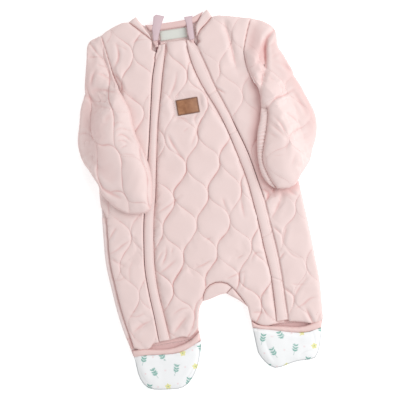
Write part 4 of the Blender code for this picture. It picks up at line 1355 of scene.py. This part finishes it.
PANELS = {
    "front_centre": ("body", 1, 6.0, 0.95, 6, 0),
    "front_side_left": ("body", 2, 6.0, 0.68, 6, 0),
    "front_side_right": ("body", 3, 6.0, 0.48, 6, 0),
    "sleeve_left": ("sleeve_left", 4, 5.0, 0.95, 40, 1),
    "sleeve_right": ("sleeve_right", 5, 5.0, 0.42, 60, 4),
}
soft = {}
for node, (net, seed, puff, relief, even, calm) in PANELS.items():
    soft[node] = quilted_panel(node, NETS[net], seed, puff, relief, even, calm)

# %% [markdown]
# ## The back
#
# The back lies face down, so its pads are pressed flat where they touch the table and only the sewn
# lines stand clear of it. The solid is remeshed into even small faces with the Remesh modifier, and
# the lines are then pressed in from below.

# %% The back
BACK_VOXEL = 2.6
BACK_DIP, BACK_DIP_WIDTH = 1.3, 2.4
BACK_MARK, BACK_MARK_WIDTH = 0.6, 1.4
BACK_HEM_MARK = 0.45
LEVEL_NORMAL = 0.7


def remeshed(node, voxel):
    """A copy of a solid in even small faces."""
    source = bpy.data.objects.new("remesh_source", mesh_from(merged_copy(node), node))
    scene.collection.objects.link(source)
    voxels = source.modifiers.new("voxels", "REMESH")
    voxels.mode = "VOXEL"
    voxels.voxel_size = voxel * MM
    mesh = bpy.data.meshes.new_from_object(source.evaluated_get(bpy.context.evaluated_depsgraph_get()))
    bpy.data.objects.remove(source)
    return mesh


def quilted_back():
    """The back, with its sewn lines pressed in from below."""
    mesh = remeshed("back", BACK_VOXEL)
    piece = add_piece("soft_back", mesh, SATIN, "quilted_satin", "back")
    points, normals = points_of(mesh), normals_of(mesh)
    places = points / MM
    spot = places[:, :2] + drift(places[:, :2], 6)
    u, v = in_net(NETS["body"], spot)
    away = np.minimum(*np.abs(line_distance(NETS["body"], u, v)))
    below = (normals[:, 2] < -LEVEL_NORMAL) & (places[:, 2] < 1.5)
    dip = BACK_DIP * bell(away, BACK_DIP_WIDTH)
    small = 0.15 * (1 + rumple(places[:, :2], 14, 77))
    places[:, 2] += np.where(below, dip + small, 0)
    above = normals[:, 2] > LEVEL_NORMAL
    places[:, 2] += np.where(above, 0.4 * rumple(places[:, :2], 24, 78), 0)
    places[:, 2] = np.maximum(places[:, 2], 0.1)
    move_to(mesh, places * MM)
    fill_seams(mesh)
    # Painted shade on the back's hem inside the foot openings, and in the sewn lines pressed into its
    # underside.
    hem = np.where(above, BACK_HEM_MARK * eased((-180 - places[:, 1]) / 8), 0)
    line_marks = BACK_MARK * bell(away, BACK_MARK_WIDTH)
    mark_hollows(mesh, np.where(below, line_marks, hem))
    print("back:", len(mesh.polygons), "faces")
    return piece


soft["back"] = quilted_back()

# %% [markdown]
# ## Plain soft pieces
#
# The strips over the zips, the bindings, the hand band and the gussets have no quilting. Each is a
# finely divided copy of its solid with ripples. The strips are widened a little towards their zips,
# and more beside the sliders, where the solid leaves room that real cloth doesn't, and the hand
# band is widened up to its mitten for the same reason.

# %% Plain soft pieces
SEAM_LIFT = 1.1
STRIP_MARK, STRIP_MARK_WIDTH = 0.4, 1.3


def painted_seam_shade(places, edge_away):
    """Painted shade along a strip's sewn edges, which look deeper in colour than its middle."""
    return STRIP_MARK * bell(edge_away, STRIP_MARK_WIDTH)


def soft_strip(node, material, slot, rounds=3, smooth=2, ripple=0.25, size=9.0, seed=11, shape=None,
               marks=painted_seam_shade, plump=0.0, rim_above=-100.0, lift=0.0):
    """A soft copy of a plain strip, with small ripples on its upper side."""
    bm = merged_copy(node)
    refine(bm, rounds, smooth=smooth)
    places = places_in(bm)
    inner, upper = flags(bm, loose_points(bm)), flags(bm, upper_verts(bm))
    edge_away = plan_distance(places, plan_tree(rim_spots(bm, rim_above)))
    raised = plump * rounded(edge_away / 4) + ripple * rumple(places[:, :2], size, seed)
    places[:, 2] += np.where(inner, raised, 0)
    places[:, 2] += np.where(upper, lift * np.exp(-edge_away / 2), 0)
    folds, fold_marks = crease_heights(places[:, :2], CREASES.get(node, ()))
    places[:, 2] += np.where(inner, folds, 0)
    # Painted shade along the folds and the edges.
    mark = np.maximum(fold_marks, marks(places, edge_away))
    if shape:
        places = shape(places, inner)
    place_all(bm, places)
    piece = add_piece("soft_" + node, mesh_from(bm, node), material, slot, node)
    fill_seams(piece.data)
    mark_hollows(piece.data, mark)
    return piece


GAP_CLOSED = {
    "left": [(-200, 0.9), (-150, 0.8), (40, 0.5), (200, 0.5), (262, 0.5)],
    "right": [(-200, 1.7), (0, 1.7), (22, 0.7), (130, 0.7), (150, 1.7), (262, 1.7)],
}
STRIP_FOLDS = {"left": [], "right": [(-57, 8), (-132, -10), (188, 6), (118, 5)]}
STRIP_FOLD_DEPTH, STRIP_FOLD_WIDTH = 1.1, 1.8
STRIP_PLUMP = 1.3
TOP_ROOM, TOP_START = 6.6, (255, 14)
TOP_TAPER, TAPER_START = 2.3, (270, 5)


def placket_shape(side):
    """Widens a strip towards its zip, and lays a few soft folds across it."""
    levels = np.linspace(-199, 279, 60)
    spans = row_spans("placket_" + side, levels)

    def shape(places, inner):
        y = places[:, 1]
        low, high = edges_at(y, levels, spans)
        share = (places[:, 0] - low) / (high - low)
        share = np.clip(1 - share if side == "left" else share, 0, 1)
        room = TOP_ROOM * eased((y - TOP_START[0]) / TOP_START[1])
        room = room - TOP_TAPER * eased((y - TAPER_START[0]) / TAPER_START[1])
        closed = np.interp(y, *np.array(GAP_CLOSED[side]).T)
        places[:, 0] += OUTWARD[side] * share * (closed + room)
        middle = np.sin(math.pi * np.clip((places[:, 0] - low) / (high - low), 0, 1))
        places[:, 2] += np.where(inner, STRIP_PLUMP * middle ** 0.7, 0)
        for level, tilt in STRIP_FOLDS[side]:
            away = y - level - tilt * (share - 0.5)
            fold = STRIP_FOLD_DEPTH * bell(away, STRIP_FOLD_WIDTH)
            places[:, 2] -= np.where(inner, fold, 0)
        return places

    return shape


BAND_LEVELS = np.linspace(18, 146, 40)
BAND_SPANS = row_spans("hand_band_right", BAND_LEVELS)
BAND_GAP, BAND_END = 2.2, 1.2
BAND_WAVE, BAND_SWAY = 5.2, 2.5


def band_shape(places, inner):
    """Widens the hand band up to its mitten, and gathers it with ripples across it."""
    y = places[:, 1]
    left, right = edges_at(y, BAND_LEVELS, BAND_SPANS)
    places[:, 0] += BAND_GAP * eased((places[:, 0] - left) / (right - left))
    places[:, 1] += BAND_END * eased((y - 120) / 25)
    wave = np.sin(2 * math.pi * (y + BAND_SWAY * rumple(places[:, :2], 11, 33)) / BAND_WAVE)
    strength = 0.35 + 0.45 * eased((130 - y) / 30) * eased((y - 55) / 30)
    places[:, 2] += np.where(inner, strength * wave, 0)
    return places


TIP_START, TIP_FADE, TIP_MOVE = 34, 13, (5.5, 3.0)


def back_binding_shape(places, inner):
    """Carries the binding behind the neck on to the tip of the right front."""
    share = eased((places[:, 0] - TIP_START) / TIP_FADE)
    places[:, 0] += TIP_MOVE[0] * share
    places[:, 1] += TIP_MOVE[1] * share
    return places


for k, side in enumerate(("left", "right")):
    strip = soft_strip("placket_" + side, STRIP, "placket_satin", seed=20 + k, shape=placket_shape(side),
                       lift=SEAM_LIFT)
    soft["placket_" + side] = strip
    gusset = soft_strip("crotch_gusset_" + side, SATIN, "quilted_satin", seed=24 + k, plump=1.4,
                        lift=SEAM_LIFT)
    soft["crotch_gusset_" + side] = gusset
soft["hand_band_right"] = soft_strip("hand_band_right", SATIN, "quilted_satin", ripple=0.3, seed=31,
                                     shape=band_shape, plump=0.8, lift=SEAM_LIFT)
for k, run in enumerate(("left", "right", "back")):
    # The back run lies inside the neck and takes the binding cloth with painted shade.
    cloth, shape = (BINDING_SHADED, back_binding_shape) if run == "back" else (STRIP, None)
    soft["neck_binding_" + run] = soft_strip("neck_binding_" + run, cloth, "binding_pink", seed=40 + k,
                                             shape=shape, plump=1.0)

# %% [markdown]
# ## Feet
#
# The foot pockets are folded up from the back of the legs, so the printed side of the lining shows.
# The print is a generic half-drop repeat of sprigs, small flowers and dots. It could be an image,
# but this script uses none: each motif is a small shape in millimetres, and the mesh is fine enough
# to carry the print as a colour on its points.

# %% The print
WHITE = np.array([0.93, 0.94, 0.95])
REPEAT = (33.0, 25.0)
MOTIF_REACH = 15.0
STEM_WIDTH, SPRIG_STEM = 0.7, ((-3.0, -8.5), (1.0, 0), (4.0, 8.5))
SPRIG_PAIRS, SPRIG_LEAF, SPRIG_SPREAD = (0.25, 0.55, 0.85), (6.5, 2.8), 48
PETAL, PETAL_INK, EYE_SIZE = (5.6, 4.0), 0.9, 1.2
DOT_SIZE, DOT_INK = 2.0, 0.7
INKS = {
    "leaf": (0.26, 0.50, 0.44),
    "stem": (0.35, 0.52, 0.48),
    "dark leaf": (0.19, 0.44, 0.44),
    "yellow": (0.83, 0.80, 0.33),
    "rose": (0.90, 0.66, 0.68),
}


def inked(colours, shares, ink):
    shares = np.clip(shares, 0, 1)[:, None]
    return colours * (1 - shares) + np.array(INKS[ink]) * shares


def leaf_share(places, root, angle, length, width):
    """1 inside a pointed leaf that grows from its root, with a soft edge."""
    turn = math.radians(angle)
    along = (places - root) @ np.array([math.cos(turn), math.sin(turn)]) / length
    across = np.abs((places - root) @ np.array([-math.sin(turn), math.cos(turn)]))
    half = width / 2 * np.sin(math.pi * np.clip(along, 0, 1) ** 0.8)
    return np.where((along > 0) & (along < 1), np.clip((half - across) / 0.5 + 0.5, 0, 1), 0)


def stem_share(places, line, width):
    away, _ = line_reach(places, cut_corners(line))
    return np.clip((width / 2 - away) / 0.5 + 0.5, 0, 1)


def spot_share(places, middle, size, softness):
    away = np.linalg.norm((places - middle) / size, axis=1)
    return np.clip((1 - away) / softness, 0, 1)


def small_sprig(colours, places, middle, lean):
    """A bent stem with pairs of leaves along it, leaning to one side."""
    stem = [middle + (x * lean, y) for x, y in SPRIG_STEM]
    colours = inked(colours, stem_share(places, stem, STEM_WIDTH), "stem")
    line = cut_corners(stem)
    for share in SPRIG_PAIRS:
        at = share * (len(line) - 1)
        low = min(int(at), len(line) - 2)
        step = line[low + 1] - line[low]
        root = line[low] + (at - low) * step
        angle = math.degrees(math.atan2(step[1], step[0]))
        for spread in (-SPRIG_SPREAD, SPRIG_SPREAD):
            colours = inked(colours, leaf_share(places, root, angle + spread, *SPRIG_LEAF), "leaf")
    return colours


def small_flower(colours, places, middle):
    """Five petals round a darker eye."""
    for k in range(5):
        petal = leaf_share(places, middle, 90 + 72 * k, *PETAL)
        colours = inked(colours, PETAL_INK * petal, "yellow")
    return inked(colours, spot_share(places, middle, EYE_SIZE, 0.5), "dark leaf")


def sprig_print(places):
    """Rows of two sprigs and a flower in turn, each row moved on by half a repeat, with dots between."""
    colours = np.tile(WHITE, (len(places), 1))
    for row in range(-11, -7):
        for column in range(-6, 6):
            middle = np.array([(column + 0.5 * (row % 2) + 0.2) * REPEAT[0], row * REPEAT[1]])
            near = np.linalg.norm(places - middle, axis=1) < MOTIF_REACH
            if near.any():
                inks = colours[near], places[near], middle
                flower = (row + column) % 3 == 0
                lean = 1 if column % 2 else -1
                colours[near] = small_flower(*inks) if flower else small_sprig(*inks, lean)
            dot = spot_share(places, middle + (REPEAT[0] / 2, 2), DOT_SIZE, 0.6)
            colours = inked(colours, DOT_INK * dot, "rose")
    return colours


print("inks:", list(INKS))

# %% [markdown]
# ## Foot pockets and their bindings
#
# A pocket's upper layer ends in a pink binding at its mouth, and a narrow ledge of the pocket shows
# behind it. The pocket is one mesh with two materials: faces on the ledge take the binding cloth
# darkened with painted shade, and the rest is printed.

# %% Foot pockets and their bindings
MOUTHS = {"left": (-155, -45), "right": (46, 156)}
MOUTH_RISE, MOUTH_GAP = 1.8, 1.2
MOUTH_SINK, MOUTH_TAPER = 2.6, 8.0
LEDGE_LOW, LEDGE = 3.0, 5.8
HEM_LINE, HEM_FILL = -207.0, 0.45


def mouth_line(side):
    """The lower and the upper edge of a foot's binding, in mm, over a row of places along it."""
    levels = np.linspace(*MOUTHS[side], 40)
    return levels, row_spans("foot_binding_" + side, levels, 0)


def foot_shape(side):
    """Draws a pocket's upper layer up to its binding, and thins it there."""
    levels, spans = mouth_line(side)

    def shape(places, inner):
        upper = eased((places[:, 2] - 5.3) / 1.5) * eased((places[:, 1] + 242) / 20)
        below = np.interp(places[:, 0], levels, spans[:, 0]) - places[:, 1]
        puffed = inner & (places[:, 2] > 7)
        places[:, 2] -= MOUTH_SINK * eased(1 - below / MOUTH_TAPER) * eased((places[:, 2] - 8) / 2)
        places[:, 1] += (MOUTH_RISE + MOUTH_GAP) * upper
        places[:, 1] += HEM_FILL * eased((places[:, 1] - HEM_LINE + 2) / 1.5) * (places[:, 2] < LEDGE)
        places[:, 2] += np.where(puffed, 0.5 * rumple(places[:, :2], 16, 82), 0)
        return places

    return shape


def line_inside(piece, side):
    """Gives a pocket's ledge, and what lies behind its binding, the binding cloth darkened with painted
    shade.
    """
    faces = piece.data.polygons
    middles = np.empty(len(faces) * 3)
    faces.foreach_get("center", middles)
    x, y, z = middles.reshape(-1, 3).T / MM
    levels, spans = mouth_line(side)
    behind = y > np.interp(x, levels, spans.mean(1)) + MOUTH_RISE
    ledge = (z > LEDGE_LOW) & (z < LEDGE) & (y > np.interp(x, levels, spans[:, 0]) - 4)
    ledge |= (z < LEDGE) & (y > HEM_LINE - 1)
    faces.foreach_set("material_index", (behind | ledge).astype(int))


def binding_shape(places, inner):
    """Moves a foot's binding up to the end of its pocket's upper layer."""
    places[:, 1] += MOUTH_RISE
    return places


def foot_edges(side):
    """The pockets' seam is at their edge, where the cotton is in shade, but not along the binding."""
    levels, spans = mouth_line(side)

    def marks(places, edge_away):
        below = np.interp(places[:, 0], levels, spans[:, 0]) - places[:, 1]
        seam = np.clip(1 - edge_away / 2.6, 0, 1) ** 0.7 * (0.15 + 0.85 * eased((below - 4) / 8))
        # Below the ledge's height the cotton gets painted shade too.
        return np.where(places[:, 2] < LEDGE, 0.3, seam)

    return marks


def paint(piece, colour_of):
    places = points_of(piece.data) / MM
    colours = np.column_stack([colour_of(places[:, :2]), np.ones(len(places))])
    layer = piece.data.attributes.new("print", "FLOAT_COLOR", "POINT")
    layer.data.foreach_set("color", colours.ravel())


for k, side in enumerate(("left", "right")):
    pocket = soft_strip("foot_pocket_" + side, PRINTED, "printed_lining", 4, 3, ripple=0.2, seed=80 + k,
                        shape=foot_shape(side), marks=foot_edges(side), rim_above=LEDGE)
    paint(pocket, sprig_print)
    pocket.data.materials.append(BINDING_SHADED)
    line_inside(pocket, side)
    soft["foot_pocket_" + side] = pocket
    binding = soft_strip("foot_binding_" + side, BINDING, "binding_pink", ripple=0.3, seed=50 + k,
                         shape=binding_shape, plump=2.2)
    soft["foot_binding_" + side] = binding
    print("foot pocket", side, len(pocket.data.polygons), "faces")

# %% [markdown]
# ## Ribbons, label and patch
#
# The ribbon pulls are flipped up over the neck from their sliders. The woven label and the leather
# patch are left bare.

# %% Ribbons, label and patch
RIBBON_TOP = 300.0
RIBBON_SHARE = {"left": 0.66, "right": 0.94}


def ribbon_shape(share):
    """Ends a ribbon at its slider, and lets it wave a little."""

    def shape(places, inner):
        y = places[:, 1]
        places[:, 1] = np.where(y < RIBBON_TOP, RIBBON_TOP - (RIBBON_TOP - y) * share, y)
        places[:, 2] += 0.5 * np.sin((y - 280) / 7.5)
        return places

    return shape


for k, (side, share) in enumerate(RIBBON_SHARE.items()):
    soft["ribbon_" + side] = soft_strip("ribbon_" + side, RIBBON, "ribbon_mauve", ripple=0.1, seed=60 + k,
                                        shape=ribbon_shape(share))
soft["neck_label"] = soft_strip("neck_label", LABEL, "label_white", 3, 0, ripple=0.25, size=14, seed=65)
soft["chest_patch"] = soft_strip("chest_patch", LEATHER, "leather_tan", 4, 0, ripple=0.12, size=10, seed=66)

# %% [markdown]
# ## Zips
#
# A coil zip shows as a fine dark line. Its tape keeps its solid and gets a woven material. The
# teeth are a small bevelled block, copied along the tape as one joined mesh.

# %% Zips
TOOTH, TOOTH_BEVEL = (1.7, 1.0, 0.9), 0.22
TOOTH_PITCH, TOOTH_LEVEL = 1.5, 7.75
TOOTH_INSET, TOOTH_STAGGER = 0.45, 0.12


def joined_copies(name, base, matrices):
    """One mesh of many copies of a small shape."""
    verts = np.array([vert.co for vert in base.verts])
    faces = [[vert.index for vert in face.verts] for face in base.faces]
    spots = np.einsum("nij,vj->nvi", matrices[:, :3, :3], verts) + matrices[:, None, :3, 3]
    every = [[index + k * len(verts) for index in face] for k in range(len(matrices)) for face in faces]
    mesh = bpy.data.meshes.new(name)
    mesh.from_pydata(spots.reshape(-1, 3).tolist(), [], every)
    mesh.update()
    return mesh


def tooth():
    bm = bmesh.new()
    bmesh.ops.create_cube(bm, size=MM)
    bmesh.ops.scale(bm, vec=TOOTH, verts=bm.verts)
    bmesh.ops.bevel(bm, geom=bm.edges, offset=TOOTH_BEVEL * MM, segments=1, profile=0.5, affect="EDGES",
                    material=-1)
    bm.verts.index_update()
    return bm


def zip_teeth(side):
    """The teeth of one zip, turned along it."""
    levels = np.arange(-197, 274, TOOTH_PITCH)
    spans = row_spans("zip_" + side, levels)
    x = spans[:, 0 if side == "left" else 1] - TOOTH_INSET * OUTWARD[side]
    slopes = np.gradient(x, levels)
    x = x + TOOTH_STAGGER * np.where(np.arange(len(x)) % 2, 1, -1)
    matrices = []
    for across, level, slope in zip(x, levels, slopes):
        spot = Matrix.Translation((across * MM, level * MM, TOOTH_LEVEL * MM))
        matrices.append(np.array(spot @ Matrix.Rotation(-math.atan(slope), 4, "Z")))
    base = tooth()
    mesh = joined_copies("zip_teeth_" + side, base, np.array(matrices))
    base.free()
    add_piece("zip_teeth_" + side, mesh, TEETH, "zip_tape")
    print("zip", side, len(matrices), "teeth")


def dress(node, material):
    """Gives a solid that shows as it is its material."""
    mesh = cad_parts[node].data
    mesh.materials.clear()
    mesh.materials.append(material)


for side in ("left", "right"):
    zip_teeth(side)
    dress("zip_" + side, TAPE)
    dress("slider_" + side, ENAMEL)

# %% [markdown]
# ## Stitches
#
# Every seam is sewn with visible thread. A stitch is a tiny capsule with few faces. The stitches of
# a row are placed along a line seen from above, dropped on to the cloth by a ray, and joined into
# one mesh.

# %% Stitches
STITCH_LENGTH, THREAD_SIZE, THREAD_LIFT = 2.3, 0.42, 0.05
STITCH_PITCH, BINDING_PITCH, QUILTING_PITCH = 3.1, 2.8, 3.4
STITCH_SLOPE = 0.4


def capsule():
    bm = bmesh.new()
    bmesh.ops.create_uvsphere(bm, u_segments=6, v_segments=4, radius=0.5 * MM)
    bmesh.ops.rotate(bm, matrix=Matrix.Rotation(math.pi / 2, 3, "Y"), verts=bm.verts)
    bmesh.ops.scale(bm, vec=(STITCH_LENGTH, THREAD_SIZE, THREAD_SIZE), verts=bm.verts)
    bm.verts.index_update()
    return bm


def spaced(line, pitch):
    """Points along a line at one pitch, with the direction at each."""
    line = np.array(line, float)
    lengths = np.linalg.norm(np.diff(line, axis=0), axis=1)
    before = np.concatenate([[0], np.cumsum(lengths)])
    at = np.arange(pitch / 2, before[-1], pitch)
    points, ahead, behind = [
        np.column_stack([np.interp(at + step, before, line[:, axis]) for axis in (0, 1)])
        for step in (0, 0.5, -0.5)
    ]
    return points, ahead - behind


def piece_tree(piece):
    bm = bmesh.new()
    bm.from_mesh(piece.data)
    tree = BVHTree.FromBMesh(bm)
    bm.free()
    return tree


def stitches(name, lines, piece, material, slot, pitch=STITCH_PITCH, keep=None):
    """Rows of stitches on one piece, as one mesh."""
    tree = piece_tree(piece)
    matrices = []
    for line in lines:
        for (x, y), way in zip(*spaced(line, pitch)):
            spot, normal, _, _ = tree.ray_cast(Vector((x * MM, y * MM, 0.1)), -UP)
            if spot is None or normal.z < STITCH_SLOPE or (keep and not keep(x, y)):
                continue
            along = Vector((way[0], way[1], 0)).normalized()
            along = (along - normal * along.dot(normal)).normalized()
            side = normal.cross(along)
            turn = Matrix((along, side, normal)).transposed().to_4x4()
            matrices.append(np.array(Matrix.Translation(spot + normal * THREAD_LIFT * MM) @ turn))
    base = capsule()
    mesh = joined_copies(name, base, np.array(matrices))
    base.free()
    add_piece(name, mesh, material, slot)
    print(name, len(matrices), "stitches")


def shifted_edge(node, levels, share, along=1):
    """A line across a strip's rows, at a share of its width."""
    spans = row_spans(node, levels, along)
    across = spans[:, 0] + share * (spans[:, 1] - spans[:, 0])
    return np.column_stack([across, levels] if along else [levels, across])


for side in ("left", "right"):
    levels = np.linspace(-196, 268, 120)
    rows = [shifted_edge("placket_" + side, levels, share) for share in (0.14, 0.86)]
    stitches("stitches_placket_" + side, rows, soft["placket_" + side], THREAD, "placket_satin")
    x = np.linspace(MOUTHS[side][0] + 2, MOUTHS[side][1] - 2, 40)
    row = shifted_edge("foot_binding_" + side, x, 0.2, 0) + (0, MOUTH_RISE)
    stitches("stitches_foot_" + side, [row], soft["foot_binding_" + side], THREAD, "binding_pink",
             BINDING_PITCH)
NECK_ROWS = {
    "left": [(-40, 293), (-47, 302), (-58, 315), (-66, 323)],
    "right": [(38, 287), (44, 297), (54, 305), (61, 311)],
    "back": [(-38, 306), (-20, 305.5), (10, 305), (34, 308)],
}
for run, row in NECK_ROWS.items():
    stitches("stitches_neck_" + run, [row], soft["neck_binding_" + run], THREAD, "binding_pink",
             BINDING_PITCH)


def inset_box(low, high, inset):
    """The left, lower, right and upper side of a box seen from above, moved in."""
    return *(low[:2] + inset), *(high[:2] - inset)


x0, y0, x1, y1 = inset_box(*PATCH, 1.9)
patch_row = [(x0, y0), (x1, y0), (x1, y1), (x0, y1), (x0, y0)]
stitches("stitches_patch", [patch_row], soft["chest_patch"], LEATHER_THREAD, "leather_tan", 2.9)
x0, y0, x1, y1 = inset_box(*box_of("neck_label"), 1.6)
label_rows = [[(x0, y0), (x0, y1)], [(x1, y0), (x1, y1)]]
stitches("stitches_label", label_rows, soft["neck_label"], THREAD, "label_white", 2.4)

# %% [markdown]
# ## Quilting stitches
#
# The quilting thread runs in the bottom of every sewn line, so its stitches follow the same net as
# the panels.

# %% Quilting stitches
def net_rows(net, seed, low, high):
    """The sewn lines of a net over a region, each as a run of points seen from above."""
    corners = np.array([(x, y) for x in (low[0], high[0]) for y in (low[1], high[1])], float)
    u, v = in_net(net, corners)
    first = np.floor([u.min(), v.min()]) - 1
    last = np.ceil([u.max(), v.max()]) + 1
    rows = []
    for family in (0, 1):
        for whole in np.arange(first[family], last[family] + 1):
            run = np.arange(first[1 - family], last[1 - family], 0.05)
            fixed = np.full(len(run), whole)
            spot = on_cloth(net, fixed, run) if family == 0 else on_cloth(net, run, fixed)
            rows.append(spot + drift(spot, seed))
    return rows


for node, (net, seed, *_) in PANELS.items():
    rim = rim_tree(node)
    cover = [tree for _, tree in PLACKETS.values()] if node == "front_centre" else []

    def clear(x, y):
        """Whether a place is away from the panel's edge, and clear of the strips and the patch."""
        covered = any(covers(tree, x, y) for tree in cover)
        on_patch = (PATCH[0][:2] - 3 < (x, y)).all() and (PATCH[1][:2] + 3 > (x, y)).all()
        away = rim.find((x, y, 0))[2]
        return away > 4 and not covered and not (node == "front_centre" and on_patch)

    rows = net_rows(NETS[net], seed, *box_of(node))
    stitches("quilting_" + node, rows, soft[node], QUILT_THREAD, "quilted_satin", QUILTING_PITCH, clear)

# %% [markdown]
# ## Sheets
#
# A table lists the thin cloth pieces, with the width and the length that each was cut to, in
# metres, and the piece that each lies on. The loop over it does nothing.

# %% Sheets
SHEETS = {
    "neck_binding_left": (0.014, 0.050, "front_side_left"),
    "neck_binding_right": (0.014, 0.047, "front_side_right"),
    "neck_binding_back": (0.014, 0.094, "back"),
    "foot_binding_left": (0.014, 0.118, "foot_pocket_left"),
    "foot_binding_right": (0.014, 0.118, "foot_pocket_right"),
    "ribbon_left": (0.011, 0.047, "neck_binding_back"),
    "ribbon_right": (0.011, 0.040, "neck_binding_back"),
    "neck_label": (0.0155, 0.0435, "back"),
}
for node, (width, length, under) in SHEETS.items():
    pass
